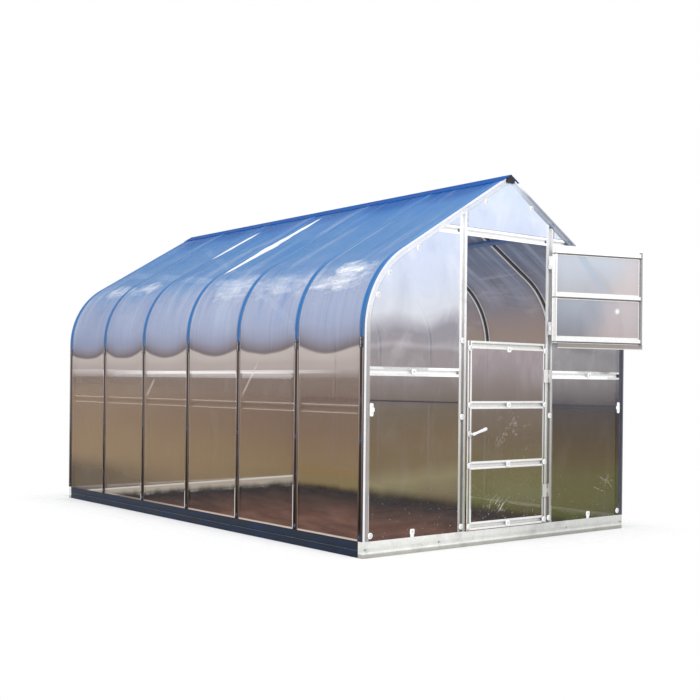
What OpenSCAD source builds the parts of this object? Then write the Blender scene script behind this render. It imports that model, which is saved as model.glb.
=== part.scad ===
// Polycarbonate greenhouse: bent hat-section arches on a folded steel base,
// twin-wall sheets held down by clamp straps, and a two-leaf door in the front
// end wall. Millimetres. +X to the right, +Y into the house, +Z up.
// The origin is on the ground at the middle of the front wall's outer face.

/* [Overall size] */
// outside width over the side sheets
house_w = 2500; // [2000:10:3200]
// outside length over the end sheets
house_l = 4200; // [3000:10:6000]
// height of the upright part of the side walls
wall_h = 1380; // [1200:5:1600]
// outside radius of the curved eaves
eave_r = 600; // [300:5:800]
// pitch of the straight roof slopes, degrees
roof_pitch = 31; // [25:0.5:40]

/* [Base profile] */
// height of the ground profile
base_h = 100; // [60:1:160]
// depth of its flanges into the house
base_depth = 45; // [30:1:80]
// thickness of the folded base steel
base_t = 2; // [1:0.1:4]
// height of the return lip on the top flange
base_lip = 14; // [6:1:30]
// height of the stiffening groove along the web
groove_h = 12; // [6:1:20]
// depth of the groove
groove_d = 5; // [3:0.5:10]

/* [Steel sections] */
// thickness of the folded sections
steel_t = 1.5; // [0.8:0.1:3]
// width of the arches' hat section over its flanges
rib_w = 60; // [40:1:90]
// width of the raised middle of that section
rib_crown = 30; // [16:1:40]
// depth of the arches' hat section
rib_d = 22; // [14:1:40]
// face width of the end arches, seen from the end
end_leg = 40; // [30:1:80]
// width of the end arches' flange under the cover
end_flange = 52; // [40:1:80]
// return lip of the end arches
end_lip = 12; // [6:1:20]
// face width of the door posts
post_w = 65; // [50:1:90]
// depth of the end-wall sections
post_d = 25; // [15:1:40]
// face height of the end-wall rails
rail_w = 55; // [40:1:80]
// width of the raised middle of the rails and purlins
rail_crown = 26; // [14:1:36]

/* [Rails and purlins] */
// height of the end-wall mid rails' centre
mid_rail_z = 1133; // [700:1:1300]
// underside of the lintel
lintel_z = 2030; // [1800:1:2100]
// height of the side-wall purlins' centre
wall_purlin_z = 898; // [400:1:1200]
// distance of the roof purlins below the ridge, along the slope
roof_purlin_s = 620; // [300:10:900]
// width of the ridge beam
ridge_beam_w = 40; // [20:1:60]
// depth of the ridge beam
ridge_beam_h = 20; // [10:1:40]

/* [Sheets] */
// thickness of the twin-wall sheet
sheet_t = 4; // [4:1:10]
// gap between neighbouring sheets
sheet_gap = 3; // [1:1:10]

/* [Straps and trim] */
// width of the clamp straps over the arches
strap_w = 40; // [20:1:50]
// thickness of straps and trim
strap_t = 1.5; // [0.8:0.1:3]
// front leg of the edge trim
trim_leg = 14; // [8:1:30]
// leg of the ridge cap down each slope
cap_leg = 92; // [60:1:150]
// distance the ridge cap runs past the end walls
cap_over = 14; // [8:1:20]
// width of the block in the cap's open end
plug_w = 72; // [40:1:100]
// depth of that block below the ridge
plug_h = 52; // [35:1:80]
// height of the lower row of strap bolts
bolt_low_z = 125; // [110:1:200]
// height of the middle row of strap bolts
bolt_mid_z = 704; // [400:1:1000]
// height of the strap joints at the eaves
joiner_z = 1308; // [1000:1:1370]
// bolt head diameter
bolt_dia = 16; // [8:1:24]
// bolt head height
bolt_h = 6; // [3:0.5:10]

/* [Door] */
// clear width between the door posts
door_w = 780; // [600:5:900]
// gap round each leaf
leaf_gap = 5; // [5:1:10]
// height where the two leaves meet
leaf_split_z = 1350; // [1100:1:1500]
// gap between the two leaves
split_gap = 10; // [8:1:20]
// face width of the leaf stiles
stile_w = 38; // [30:1:60]
// raised middle of the leaf sections
stile_crown = 18; // [10:1:24]
// face height of the leaf rails
leaf_rail_w = 50; // [40:1:70]
// depth of the leaf sections
leaf_d = 20; // [12:1:30]
// distance the leaf frame stands in front of the wall
leaf_proud = 6; // [5:1:12]
// lap of the lower leaf's sheet over the left post
leaf_lap = 10; // [5:1:12]
// lap of the upper leaf's sheet past its frame
upper_lap = 18; // [10:1:25]
// length cut from that lap beside the hinges
lap_notch = 55; // [40:1:90]
// angle the upper leaf is turned open, degrees
upper_open = 164; // [90:1:170]
// hinge pin diameter
pin_dia = 6; // [4:0.5:10]
// hinge knuckle diameter
knuckle_dia = 12; // [9:0.5:18]
// hinge height
hinge_h = 90; // [60:1:140]
// width of each hinge plate
hinge_plate = 42; // [30:1:60]
// thickness of the hinge plates
hinge_t = 2; // [1.5:0.1:4]
// handle height above the ground
handle_z = 735; // [500:1:1000]
// length of the handle's lever
lever_l = 130; // [80:1:180]
// thickness of the lever at its end
lever_dia = 15; // [10:0.5:20]
// angle the lever rises above level
lever_rise = 16; // [-20:1:20]
// distance of the lever in front of the leaf
handle_reach = 40; // [30:1:60]
// thickness of the handle's rose
rose_t = 6; // [3:0.5:10]
// diameter of the handle's spindle
spindle_dia = 12; // [8:0.5:14]
// length of the catch inside
catch_l = 90; // [50:1:120]

/* [Fixings] */
// diameter of the fixing pads
pad_dia = 34; // [20:1:45]
// thickness of the fixing pads
pad_t = 4; // [2:0.5:8]

/* [Hidden] */
$fn = 48;
seat = 0.3;
half_w = house_w / 2;
bend = 90 - roof_pitch;
arc_x = half_w - eave_r;
slope_x = arc_x + eave_r * cos(bend);
ridge_z = wall_h + eave_r * sin(bend) + slope_x * tan(roof_pitch);
slope_len = slope_x / cos(roof_pitch);
arch_count = 7;
arch_step = house_l / (arch_count - 1);
arc_steps = 30;
end_in = sheet_t + end_lip + seat;
post_x = door_w / 2 + post_w / 2;
pad_x = post_x + 5;
leaf_w = door_w - 2 * leaf_gap;
lower_z0 = base_h + leaf_gap + seat;
lower_z1 = leaf_split_z - split_gap / 2;
upper_z0 = leaf_split_z + split_gap / 2;
upper_z1 = lintel_z - split_gap;
leaf_y = -leaf_proud;
axis_x = door_w / 2 + 10;
axis_y = leaf_y - sheet_t - 4;
lower_h = lower_z1 - lower_z0;
upper_h = upper_z1 - upper_z0;
hinge_zs_low = [lower_z0 + lower_h * 0.18, lower_z1 - lower_h * 0.18];
pad_top = lower_z1 - leaf_rail_w * 0.65 - pad_dia / 2;
hinge_zs_up = [upper_z0 + upper_h * 0.15, upper_z1 - upper_h * 0.16];
big = 2 * house_l;

galv = [0.86, 0.87, 0.89];
dark_steel = [0.16, 0.24, 0.38];
strap_blue = [0.20, 0.32, 0.52];
clear_blue = [0.62, 0.74, 0.90, 0.45];
clear_grey = [0.80, 0.82, 0.86, 0.45];
pad_white = [0.95, 0.95, 0.95];
black = [0.10, 0.10, 0.12];

// ---- helpers ----

// centre of arch i along the house, i from 1
function arch_y(i) = i == 1 ? sheet_t + end_flange / 2
    : i == arch_count ? house_l - sheet_t - end_flange / 2
    : (i - 1) * arch_step;

// right half of the cross profile, moved out by off, from z0 up to the ridge
function half_outline(off, z0) = concat([[half_w + off, z0]],
    [for (k = [0:arc_steps]) [arc_x + (eave_r + off) * cos(bend * k / arc_steps),
        wall_h + (eave_r + off) * sin(bend * k / arc_steps)]],
    [[0, ridge_z + off / cos(roof_pitch)]]);

// the same points in the other order, and mirrored to the left side
function backwards(list) = [for (k = [len(list) - 1:-1:0]) list[k]];
function to_left(list) = [for (p = list) [-p[0], p[1]]];

// whole cross profile as a closed shape standing on the ground
module outline(off) {
    right = half_outline(off, 0);
    polygon(concat(right, backwards(to_left(right))));
}

// a flat shape in the X-Z plane, standing between y0 and y0 + t
module upright(y0, t) {
    translate([0, y0 + t, 0])
        rotate([90, 0, 0])
            linear_extrude(t)
                children();
}

// strip that follows the cross profile between the offsets outer and inner, up
// one side from z0, over the ridge and down the other, from y0 to y1
module strip(outer, inner, y0, y1, z0) {
    out = half_outline(outer, z0);
    in = half_outline(inner, z0);
    upright(y0, y1 - y0)
        polygon(concat(out, backwards(to_left(out)), to_left(in), backwards(in)));
}

// the right side of such a strip alone, cut x0 short of the ridge
module strip_right(outer, inner, y0, y1, z0, x0) {
    upright(y0, y1 - y0)
        intersection() {
            polygon(concat(half_outline(outer, z0), backwards(half_outline(inner, z0))));
            translate([x0, 0]) square([house_w, 2 * ridge_z]);
        }
}

// hat section: flanges on y = 0, raised middle at depth d, centred on x
module hat(w, crown, d, t) {
    side = (w - crown) / 2;
    translate([-w / 2, -t]) square([side, t]);
    translate([w / 2 - side, -t]) square([side, t]);
    translate([-crown / 2, -d]) square([t, d]);
    translate([crown / 2 - t, -d]) square([t, d]);
    translate([-crown / 2, -d]) square([crown, t]);
}

// horizontal hat rail in an end wall between x0 and x1, centred on z,
// flanges to the front
module wall_rail(x0, x1, z, w, crown, d, y0) {
    translate([x0, y0, z])
        rotate([90, 0, 90])
            linear_extrude(x1 - x0)
                rotate(90)
                    hat(w, crown, d, steel_t);
}

// upright hat in an end wall between z0 and z1, centred on x, flanges to the front
module wall_upright(x, z0, z1, w, crown, d, y0) {
    translate([x, y0, z0])
        linear_extrude(z1 - z0)
            rotate(180)
                hat(w, crown, d, steel_t);
}

// ---- base ----

// folded ground profile: x outwards (0 at the outer face), y up
module base_section() {
    g0 = base_h * 0.44;
    union() {
        translate([-base_t, 0]) square([base_t, g0]);
        translate([-base_t, g0 + groove_h]) square([base_t, base_h - g0 - groove_h]);
        translate([-groove_d, g0]) square([base_t, groove_h]);
        translate([-groove_d, g0 - base_t]) square([groove_d, base_t]);
        translate([-groove_d, g0 + groove_h]) square([groove_d, base_t]);
        translate([-base_depth, base_h - base_t]) square([base_depth, base_t]);
        translate([-base_depth, base_h - base_lip]) square([base_t, base_lip]);
        translate([-base_depth, 0]) square([base_depth, base_t]);
    }
}

// end sill with closing plates at both ends
module base_front() {
    color(galv)
        union() {
            translate([-half_w + base_t, 0, 0])
                rotate([90, 0, 90])
                    linear_extrude(house_w - 2 * base_t)
                        mirror([1, 0]) base_section();
            for (x = [-half_w, half_w - base_t])
                translate([x, 0, 0]) cube([base_t, base_depth, base_h]);
        }
}

module base_back() {
    translate([0, house_l, 0]) mirror([0, 1, 0]) base_front();
}

module base_right() {
    color(dark_steel)
        translate([half_w, house_l - base_depth - seat, 0])
            rotate([90, 0, 0])
                linear_extrude(house_l - 2 * base_depth - 2 * seat)
                    base_section();
}

module base_left() {
    mirror([1, 0, 0]) base_right();
}

// ---- arches ----

// end arch: a face to the end wall, a flange under the cover, return lips
module end_arch() {
    outer = -sheet_t;
    inner = -sheet_t - end_leg;
    face_y = sheet_t + steel_t;
    far_y = sheet_t + end_flange - steel_t;
    color(galv)
        union() {
            strip(outer, inner, sheet_t, face_y, base_h);
            strip(outer, outer - steel_t, face_y, far_y, base_h);
            strip(outer, outer - end_lip, far_y, far_y + steel_t, base_h);
            strip(inner + steel_t, inner, face_y, sheet_t + end_lip, base_h);
        }
}

// hat-section arch: flanges under the cover, webs and a raised middle inside.
// The webs end inside the plates that they join.
module rib_arch(i) {
    y = arch_y(i);
    outer = -sheet_t;
    inner = -sheet_t - rib_d;
    web = rib_crown / 2;
    fold = steel_t / 2;
    color(galv)
        union() {
            strip(outer, outer - steel_t, y - rib_w / 2, y - web + steel_t, base_h);
            strip(outer, outer - steel_t, y + web - steel_t, y + rib_w / 2, base_h);
            strip(inner + steel_t, inner, y - web, y + web, base_h);
            strip(outer - fold, inner + fold, y - web, y - web + steel_t, base_h);
            strip(outer - fold, inner + fold, y + web - steel_t, y + web, base_h);
        }
}

module arch_1() {
    end_arch();
}

module arch_2() {
    rib_arch(2);
}

module arch_3() {
    rib_arch(3);
}

module arch_4() {
    rib_arch(4);
}

module arch_5() {
    rib_arch(5);
}

module arch_6() {
    rib_arch(6);
}

module arch_7() {
    translate([0, house_l, 0]) mirror([0, 1, 0]) end_arch();
}

// ---- lengthwise members ----

// C section under the arches' peaks
module ridge_beam() {
    top = ridge_z - (sheet_t + rib_d) / cos(roof_pitch)
        - ridge_beam_w / 2 * tan(roof_pitch) - seat;
    color(galv)
        translate([0, house_l - end_in, top])
            rotate([90, 0, 0])
                linear_extrude(house_l - 2 * end_in)
                    union() {
                        translate([-ridge_beam_w / 2, -steel_t]) square([ridge_beam_w, steel_t]);
                        translate([-ridge_beam_w / 2, -ridge_beam_h]) square([steel_t, ridge_beam_h]);
                        translate([ridge_beam_w / 2 - steel_t, -ridge_beam_h])
                            square([steel_t, ridge_beam_h]);
                    }
}

// lengthwise hat, outer face on x = 0, centred on z = 0
module purlin() {
    translate([0, house_l - end_in, 0])
        rotate([90, 0, 0])
            linear_extrude(house_l - 2 * end_in)
                rotate(-90)
                    hat(rail_w, rail_crown, ridge_beam_h, steel_t);
}

module wall_purlins() {
    color(galv)
        for (side = [0, 1])
            mirror([side, 0, 0])
                translate([half_w - sheet_t - rib_d - seat, 0, wall_purlin_z])
                    purlin();
}

module roof_purlins() {
    color(dark_steel)
        for (side = [0, 1])
            mirror([side, 0, 0])
                translate([arc_x, 0, wall_h])
                    rotate([0, -bend, 0])
                        translate([eave_r - sheet_t - rib_d - seat, 0, slope_len - roof_purlin_s])
                            purlin();
}

// ---- cover ----

module cover_right(y0, y1) {
    color(clear_blue)
        strip_right(0, -sheet_t, y0, y1, base_h + seat, sheet_gap);
}

module cover_right_front() {
    cover_right(0, house_l / 2 - sheet_gap / 2);
}

module cover_right_rear() {
    cover_right(house_l / 2 + sheet_gap / 2, house_l);
}

module cover_left_front() {
    mirror([1, 0, 0]) cover_right_front();
}

module cover_left_rear() {
    mirror([1, 0, 0]) cover_right_rear();
}

// ---- clamp straps, trim and ridge cap ----

module straps_right() {
    color(strap_blue)
        for (i = [1:arch_count])
            strip_right(seat + strap_t, seat, arch_y(i) - strap_w / 2,
                arch_y(i) + strap_w / 2, base_h + seat, 2 * sheet_gap);
}

module straps_left() {
    mirror([1, 0, 0]) straps_right();
}

// places a fitting on the outer face of every strap on both sides at height z
module on_straps(z) {
    for (side = [0, 1])
        mirror([side, 0, 0])
            for (i = [1:arch_count])
                translate([half_w + seat + strap_t, arch_y(i), z])
                    rotate([0, 90, 0])
                        children();
}

module strap_bolts() {
    color(dark_steel)
        for (z = [bolt_low_z, bolt_mid_z])
            on_straps(z)
                union() {
                    cylinder(d = bolt_dia * 1.5, h = bolt_h / 3);
                    cylinder(d = bolt_dia, h = bolt_h);
                }
}

// folded plate with a tightening bolt where the two lengths of a strap meet
module strap_joiners() {
    plate_l = 70;
    color(dark_steel)
        on_straps(joiner_z)
            union() {
                translate([-plate_l / 2, -strap_w / 2 + steel_t, 0])
                    cube([plate_l, strap_w - 2 * steel_t, steel_t]);
                cylinder(d = bolt_dia, h = 2 * bolt_h);
            }
}

// L trim over the corner between an end wall and the cover
module end_trim() {
    color(galv)
        union() {
            strip(seat + strap_t, seat - trim_leg, -strap_t, -seat, base_h + seat);
            strip(seat + strap_t, seat, -seat, arch_y(1) - strap_w / 2 - strap_t, base_h + seat);
        }
}

module end_trims() {
    end_trim();
    at_back() end_trim();
}

// folded V strip over the ridge, len long from y0
module ridge_cap(y0, len) {
    u0 = strap_t + 2 * seat;
    c = cos(roof_pitch);
    s = sin(roof_pitch);
    low = [cap_leg * c, ridge_z - cap_leg * s];
    nrm = [s, c];
    a = [0, ridge_z + (u0 + strap_t) / c];
    b = low + nrm * (u0 + strap_t);
    d = low + nrm * u0;
    e = [0, ridge_z + u0 / c];
    color(dark_steel)
        upright(y0, len)
            polygon([a, b, d, e, [-d[0], d[1]], [-b[0], b[1]]]);
}

module ridge_cap_front() {
    ridge_cap(-cap_over, house_l / 2 + cap_over - 2 * sheet_gap);
}

module ridge_cap_rear() {
    ridge_cap(house_l / 2 + 2 * sheet_gap, house_l / 2 + cap_over - 2 * sheet_gap);
}

// block that closes the cap's open end in front of the edge trim
module ridge_plug() {
    top = ridge_z + (strap_t + seat) / cos(roof_pitch);
    side_z = top - plug_w / 2 * tan(roof_pitch);
    color(black)
        upright(-cap_over + seat, cap_over - strap_t - 2 * seat)
            polygon([[0, top], [plug_w / 2, side_z], [plug_w / 2, ridge_z - plug_h],
                [-plug_w / 2, ridge_z - plug_h], [-plug_w / 2, side_z]]);
}

module ridge_plugs() {
    ridge_plug();
    at_back() ridge_plug();
}

// ---- front end wall ----

module front_post(x) {
    color(galv)
        intersection() {
            wall_upright(x, base_h, ridge_z, post_w, rib_crown, post_d, sheet_t);
            upright(0, 4 * post_d) outline(-sheet_t - end_leg - seat);
        }
}

module front_posts() {
    front_post(-post_x);
    front_post(post_x);
}

// rail in an end wall from x0 to x1, trimmed to the end arch
module end_rail(x0, x1, z) {
    color(galv)
        intersection() {
            wall_rail(x0, x1, z, rail_w, rail_crown, post_d, sheet_t);
            upright(0, 4 * post_d) outline(-sheet_t - end_leg - seat);
        }
}

// lintel between the posts, and its short ends from the posts to the end arch
module front_lintel() {
    outer_x = door_w / 2 + post_w + seat;
    z = lintel_z + rail_w / 2;
    end_rail(-door_w / 2 + seat, door_w / 2 - seat, z);
    end_rail(-half_w, -outer_x, z);
    end_rail(outer_x, half_w, z);
}

module front_rails() {
    end_rail(-half_w, -door_w / 2 - post_w - seat, mid_rail_z);
    end_rail(door_w / 2 + post_w + seat, half_w, mid_rail_z);
}

// part of an end sheet between x0 and x1, z0 and z1
module end_sheet(x0, x1, z0, z1) {
    color(clear_grey)
        intersection() {
            upright(0, sheet_t) outline(-sheet_t - seat);
            translate([x0, -sheet_t, z0]) cube([x1 - x0, 3 * sheet_t, z1 - z0]);
        }
}

module front_panel_right() {
    end_sheet(door_w / 2 + 1, half_w, base_h + seat, 2 * ridge_z);
}

module front_panel_left() {
    mirror([1, 0, 0]) front_panel_right();
}

module front_panel_gable() {
    end_sheet(-door_w / 2, door_w / 2, lintel_z, 2 * ridge_z);
}

// ---- rear end wall ----

module at_back() {
    translate([0, house_l, 0]) mirror([0, 1, 0]) children();
}

module back_rails() {
    at_back() end_rail(-half_w, half_w, mid_rail_z);
    at_back() end_rail(-half_w, half_w, lintel_z + rail_w / 2);
}

module back_panel_lower() {
    at_back() end_sheet(-half_w, half_w, base_h + seat, mid_rail_z - seat);
}

module back_panel_upper() {
    at_back() end_sheet(-half_w, half_w, mid_rail_z + seat, 2 * ridge_z);
}

// ---- door leaves, drawn closed ----

// ladder frame of hat sections: two stiles and rails centred on zs
module leaf_frame(z0, z1, zs) {
    color(galv)
        union() {
            for (side = [-1, 1])
                wall_upright(side * (leaf_w - stile_w) / 2, z0, z1, stile_w, stile_crown, leaf_d, leaf_y);
            for (z = zs)
                wall_rail(-leaf_w / 2 + (stile_w + stile_crown) / 2, leaf_w / 2 - (stile_w + stile_crown) / 2,
                    z, leaf_rail_w, rail_crown, leaf_d, leaf_y);
        }
}

// n rail heights spread evenly from the bottom rail to the top rail
function rail_heights(z0, z1, n) = [for (k = [0:n - 1])
    z0 + leaf_rail_w / 2 + k * (z1 - z0 - leaf_rail_w) / (n - 1)];

// lower leaf, with a hole through its free stile for the handle's spindle
module door_frame() {
    color(galv)
        difference() {
            leaf_frame(lower_z0, lower_z1, rail_heights(lower_z0, lower_z1, 4));
            spindle(leaf_y - leaf_d, leaf_y + 2 * leaf_d, spindle_dia + 2 * seat);
        }
}

module door_hinges() {
    color(galv)
        for (z = hinge_zs_low)
            leaf_hinge(z);
}

module upper_leaf_hinges() {
    color(galv)
        upper_turn()
            for (z = hinge_zs_up)
                leaf_hinge(z);
}

module door_panel() {
    color(clear_grey)
        difference() {
            translate([-door_w / 2 - leaf_lap, leaf_y - sheet_t - seat, lower_z0 - leaf_gap])
                cube([door_w + leaf_lap - leaf_gap, sheet_t,
                    lower_z1 - leaf_rail_w * 0.65 - lower_z0 + leaf_gap]);
            spindle(leaf_y - 3 * sheet_t, leaf_y, spindle_dia + 2 * seat);
        }
}

// round bar across the free stile at the handle, from y0 to y1
module spindle(y0, y1, dia) {
    translate([-leaf_w / 2 + stile_w / 2, y1, handle_z])
        rotate([90, 0, 0])
            cylinder(d = dia, h = y1 - y0);
}

// turn handle: rose and lever outside, spindle through the stile, catch inside.
// The catch is turned up, clear of the post, so that the leaf can swing.
module door_handle() {
    face = leaf_y - sheet_t - seat;
    back = leaf_y + leaf_d + seat;
    reach = handle_reach;
    color(pad_white)
        union() {
            spindle(face - rose_t, face, stile_w - 2 * seat);
            spindle(face - reach, back + reach / 2, spindle_dia);
            spindle(back, back + reach / 4, 2 * spindle_dia);
            translate([-leaf_w / 2 + stile_w / 2, face - reach, handle_z])
                rotate([0, 90 - lever_rise, 0])
                    cylinder(d1 = lever_dia * 1.2, d2 = lever_dia, h = lever_l);
            translate([-leaf_w / 2 + stile_w / 2, face - reach, handle_z])
                sphere(d = lever_dia * 1.2);
            translate([-leaf_w / 2 + stile_w / 2 - spindle_dia * 0.75, back + reach / 4, handle_z - spindle_dia])
                cube([spindle_dia * 1.5, reach / 6, catch_l]);
        }
}

module upper_turn() {
    translate([axis_x, axis_y, 0])
        rotate([0, 0, upper_open])
            translate([-axis_x, -axis_y, 0])
                children();
}

module upper_leaf_frame() {
    upper_turn()
        leaf_frame(upper_z0, upper_z1, rail_heights(upper_z0, upper_z1, 3));
}

module upper_leaf_panel() {
    color(clear_grey)
        upper_turn()
            difference() {
                translate([-door_w / 2 - upper_lap, leaf_y - sheet_t - seat, lower_z1 - leaf_rail_w / 2])
                    cube([door_w + upper_lap - leaf_gap, sheet_t,
                        upper_z1 + upper_lap - lower_z1 + leaf_rail_w / 2]);
                translate([door_w / 2 - lap_notch, leaf_y - 3 * sheet_t, lower_z0])
                    cube([2 * lap_notch, 4 * sheet_t, upper_z0 - lower_z0]);
            }
}

// plate on the post, end knuckles, their webs and the pin
module post_hinges() {
    web = 2 * hinge_t;
    color(galv)
        for (z = concat(hinge_zs_low, hinge_zs_up))
            translate([0, 0, z - hinge_h / 2])
                union() {
                    translate([axis_x - web / 2, -hinge_t - seat, 0])
                        cube([hinge_plate, hinge_t, hinge_h]);
                    translate([axis_x, axis_y, 0])
                        cylinder(d = pin_dia, h = hinge_h);
                    for (k = [0, 2])
                        translate([axis_x, axis_y, k * hinge_h / 3]) {
                            cylinder(d = knuckle_dia, h = hinge_h / 3 - seat);
                            translate([-web / 2, 0, 0])
                                cube([web, -axis_y - hinge_t, hinge_h / 3 - seat]);
                        }
                }
}

// leaf half of a hinge, with the middle knuckle bored for the pin
module leaf_hinge(z) {
    plate_y = leaf_y - sheet_t - 2 * seat - hinge_t;
    play = 2;
    translate([0, 0, z - hinge_h / 2])
        difference() {
            union() {
                translate([axis_x - knuckle_dia / 2 - play - hinge_plate, plate_y, 0])
                    cube([hinge_plate, hinge_t, hinge_h]);
                translate([axis_x - knuckle_dia - play, plate_y, hinge_h / 3 + play / 2])
                    cube([knuckle_dia + play, hinge_t, hinge_h / 3 - play]);
                translate([axis_x, axis_y, hinge_h / 3 + play / 2])
                    cylinder(d = knuckle_dia, h = hinge_h / 3 - play);
            }
            translate([axis_x, axis_y, 0])
                cylinder(d = pin_dia + 2 * seat, h = hinge_h);
        }
}

// ---- fixing pads ----

// point on the right roof slope at x, moved out by off
function slope_point(x, off) = [x, ridge_z + off / cos(roof_pitch) - x * tan(roof_pitch)];

// places of the pads on the front wall, each over the section that it holds
function pads() = let (
        off = -sheet_t - end_leg - pad_dia * 0.4,
        side = half_w + off,
        low = base_h + pad_dia,
        mid = (half_w + door_w / 2 + post_w) / 2,
        arc = half_outline(off, base_h),
        right = concat(
            [[side, low], [mid, low], [pad_x, low], [mid, mid_rail_z]],
            [for (k = [-1, 1]) [side, wall_purlin_z + k * pad_dia * 0.55]],
            [[pad_x, wall_purlin_z - pad_dia * 1.5]],
            [arc[ceil(arc_steps * 0.4) + 1], arc[ceil(arc_steps * 0.7) + 1]],
            [slope_point(slope_x * 0.855, off), slope_point(slope_x * 0.23, off)]))
    concat(right, to_left(right), [[-pad_x, leaf_split_z - pad_dia * 0.2]]);

// thermal washer with its screw head, standing out from the sheet along -Y
module pad() {
    rotate([90, 0, 0])
        union() {
            cylinder(d = pad_dia, h = pad_t);
            cylinder(d = pad_dia / 3, h = pad_t * 1.5);
        }
}

module front_pads() {
    color(pad_white)
        for (p = pads())
            translate([p[0], -seat, p[1]]) pad();
}

// pads where the lower leaf's rails meet its stiles and at the rails' middles
module door_pads() {
    color(pad_white)
        for (z = rail_heights(lower_z0, lower_z1, 4))
            for (k = [-1, 0, 1])
                translate([k * (leaf_w - stile_w) / 2, leaf_y - sheet_t - 2 * seat, min(z, pad_top)])
                    pad();
}

// ---- nodes ----

base_front();
base_back();
base_left();
base_right();
arch_1();
arch_2();
arch_3();
arch_4();
arch_5();
arch_6();
arch_7();
ridge_beam();
wall_purlins();
roof_purlins();
cover_left_front();
cover_left_rear();
cover_right_front();
cover_right_rear();
straps_left();
straps_right();
strap_bolts();
strap_joiners();
end_trims();
ridge_cap_front();
ridge_cap_rear();
ridge_plugs();
front_posts();
front_lintel();
front_rails();
front_panel_left();
front_panel_right();
front_panel_gable();
back_rails();
back_panel_lower();
back_panel_upper();
door_frame();
door_panel();
door_hinges();
door_handle();
door_pads();
upper_leaf_frame();
upper_leaf_panel();
upper_leaf_hinges();
post_hinges();
front_pads();
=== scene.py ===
"""Polycarbonate greenhouse: sheets, steel finishes and small fittings dressed
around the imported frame. Metres; +X right, +Y into the house, +Z up."""
import functools
import math

import bmesh
import bpy
from mathutils import Matrix, Vector


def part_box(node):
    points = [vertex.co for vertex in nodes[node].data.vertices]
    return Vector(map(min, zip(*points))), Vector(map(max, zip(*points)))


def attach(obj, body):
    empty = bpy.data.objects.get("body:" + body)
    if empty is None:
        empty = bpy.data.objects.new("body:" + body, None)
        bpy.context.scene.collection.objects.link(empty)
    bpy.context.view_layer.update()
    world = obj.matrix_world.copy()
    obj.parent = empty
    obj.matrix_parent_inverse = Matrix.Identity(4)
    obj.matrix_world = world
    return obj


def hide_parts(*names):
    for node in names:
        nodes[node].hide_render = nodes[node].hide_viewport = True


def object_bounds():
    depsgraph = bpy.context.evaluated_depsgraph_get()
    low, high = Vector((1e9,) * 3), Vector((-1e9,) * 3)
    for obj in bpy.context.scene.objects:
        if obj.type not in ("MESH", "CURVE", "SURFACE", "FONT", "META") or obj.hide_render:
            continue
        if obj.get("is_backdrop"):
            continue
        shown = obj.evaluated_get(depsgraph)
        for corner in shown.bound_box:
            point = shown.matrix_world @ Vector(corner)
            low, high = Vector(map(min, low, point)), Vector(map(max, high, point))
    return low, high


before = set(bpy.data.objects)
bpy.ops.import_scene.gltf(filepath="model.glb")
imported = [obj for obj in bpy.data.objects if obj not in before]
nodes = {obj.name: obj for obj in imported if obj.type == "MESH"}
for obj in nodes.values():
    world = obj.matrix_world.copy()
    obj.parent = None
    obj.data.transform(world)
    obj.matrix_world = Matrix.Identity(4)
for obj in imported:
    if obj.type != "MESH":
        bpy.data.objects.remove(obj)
cad_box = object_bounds()
scene = bpy.context.scene

# ---------------------------------------------------------------- sizes (m)

SIDE_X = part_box("cover_right_front")[1][0]
HOUSE_Y1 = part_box("cover_right_rear")[1][1]
EAVE_R = 0.600
WALL_H = 1.380
PITCH = math.radians(31.0)
ARC_X = SIDE_X - EAVE_R
BAY = HOUSE_Y1 / 6
TOP = 2.5                   # height that the colour ramps span
FLUTE = 0.0057              # pitch of the twin-wall flutes


# ---------------------------------------------------------------- node tools

class Value:
    """One output of a node. Arithmetic on it adds Math nodes."""

    def __init__(self, net, socket):
        self.net, self.socket = net, socket

    def __abs__(self):
        return self.net.math("ABSOLUTE", self)

    def __round__(self):
        return self.net.math("ROUND", self)

    def fraction(self):
        return self.net.math("FRACT", self)

    def root(self):
        return self.net.math("SQRT", self)

    def spread(self, lo, hi, to_lo, to_hi, smooth=False):
        """Maps lo..hi to to_lo..to_hi, clamped."""
        node = self.net.add("ShaderNodeMapRange", clamp=True)
        if smooth:
            node.interpolation_type = "SMOOTHSTEP"
        for socket, value in zip(node.inputs, (self, lo, hi, to_lo, to_hi)):
            self.net.feed(socket, value)
        return self.net.out(node)

    def rise(self, lo, hi, smooth=False):
        return self.spread(lo, hi, 0.0, 1.0, smooth)

    def fall(self, lo, hi, smooth=False):
        return self.spread(lo, hi, 1.0, 0.0, smooth)

    def between(self, low, high):
        """Low where this value is 0, high where it is 1."""
        return self.spread(0.0, 1.0, low, high)

    def near(self, middle, half, soft=0.002):
        """1 within half of the middle, with a soft edge."""
        return abs(self - middle).fall(half, half + soft)


def arithmetic(operation, swapped=False):
    def method(value, other):
        pair = (other, value) if swapped else (value, other)
        return value.net.math(operation, *pair)
    return method


for word, operation in (("add", "ADD"), ("sub", "SUBTRACT"), ("mul", "MULTIPLY"),
                        ("truediv", "DIVIDE")):
    setattr(Value, f"__{word}__", arithmetic(operation))
    setattr(Value, f"__r{word}__", arithmetic(operation, swapped=True))


def larger(*parts):
    """The largest of some values, of which the first isn't a plain number."""
    return functools.reduce(lambda a, b: a.net.math("MAXIMUM", a, b), parts)


def smaller(value, other):
    """The smaller of a value and another or a plain number."""
    return value.net.math("MINIMUM", value, other)


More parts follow.
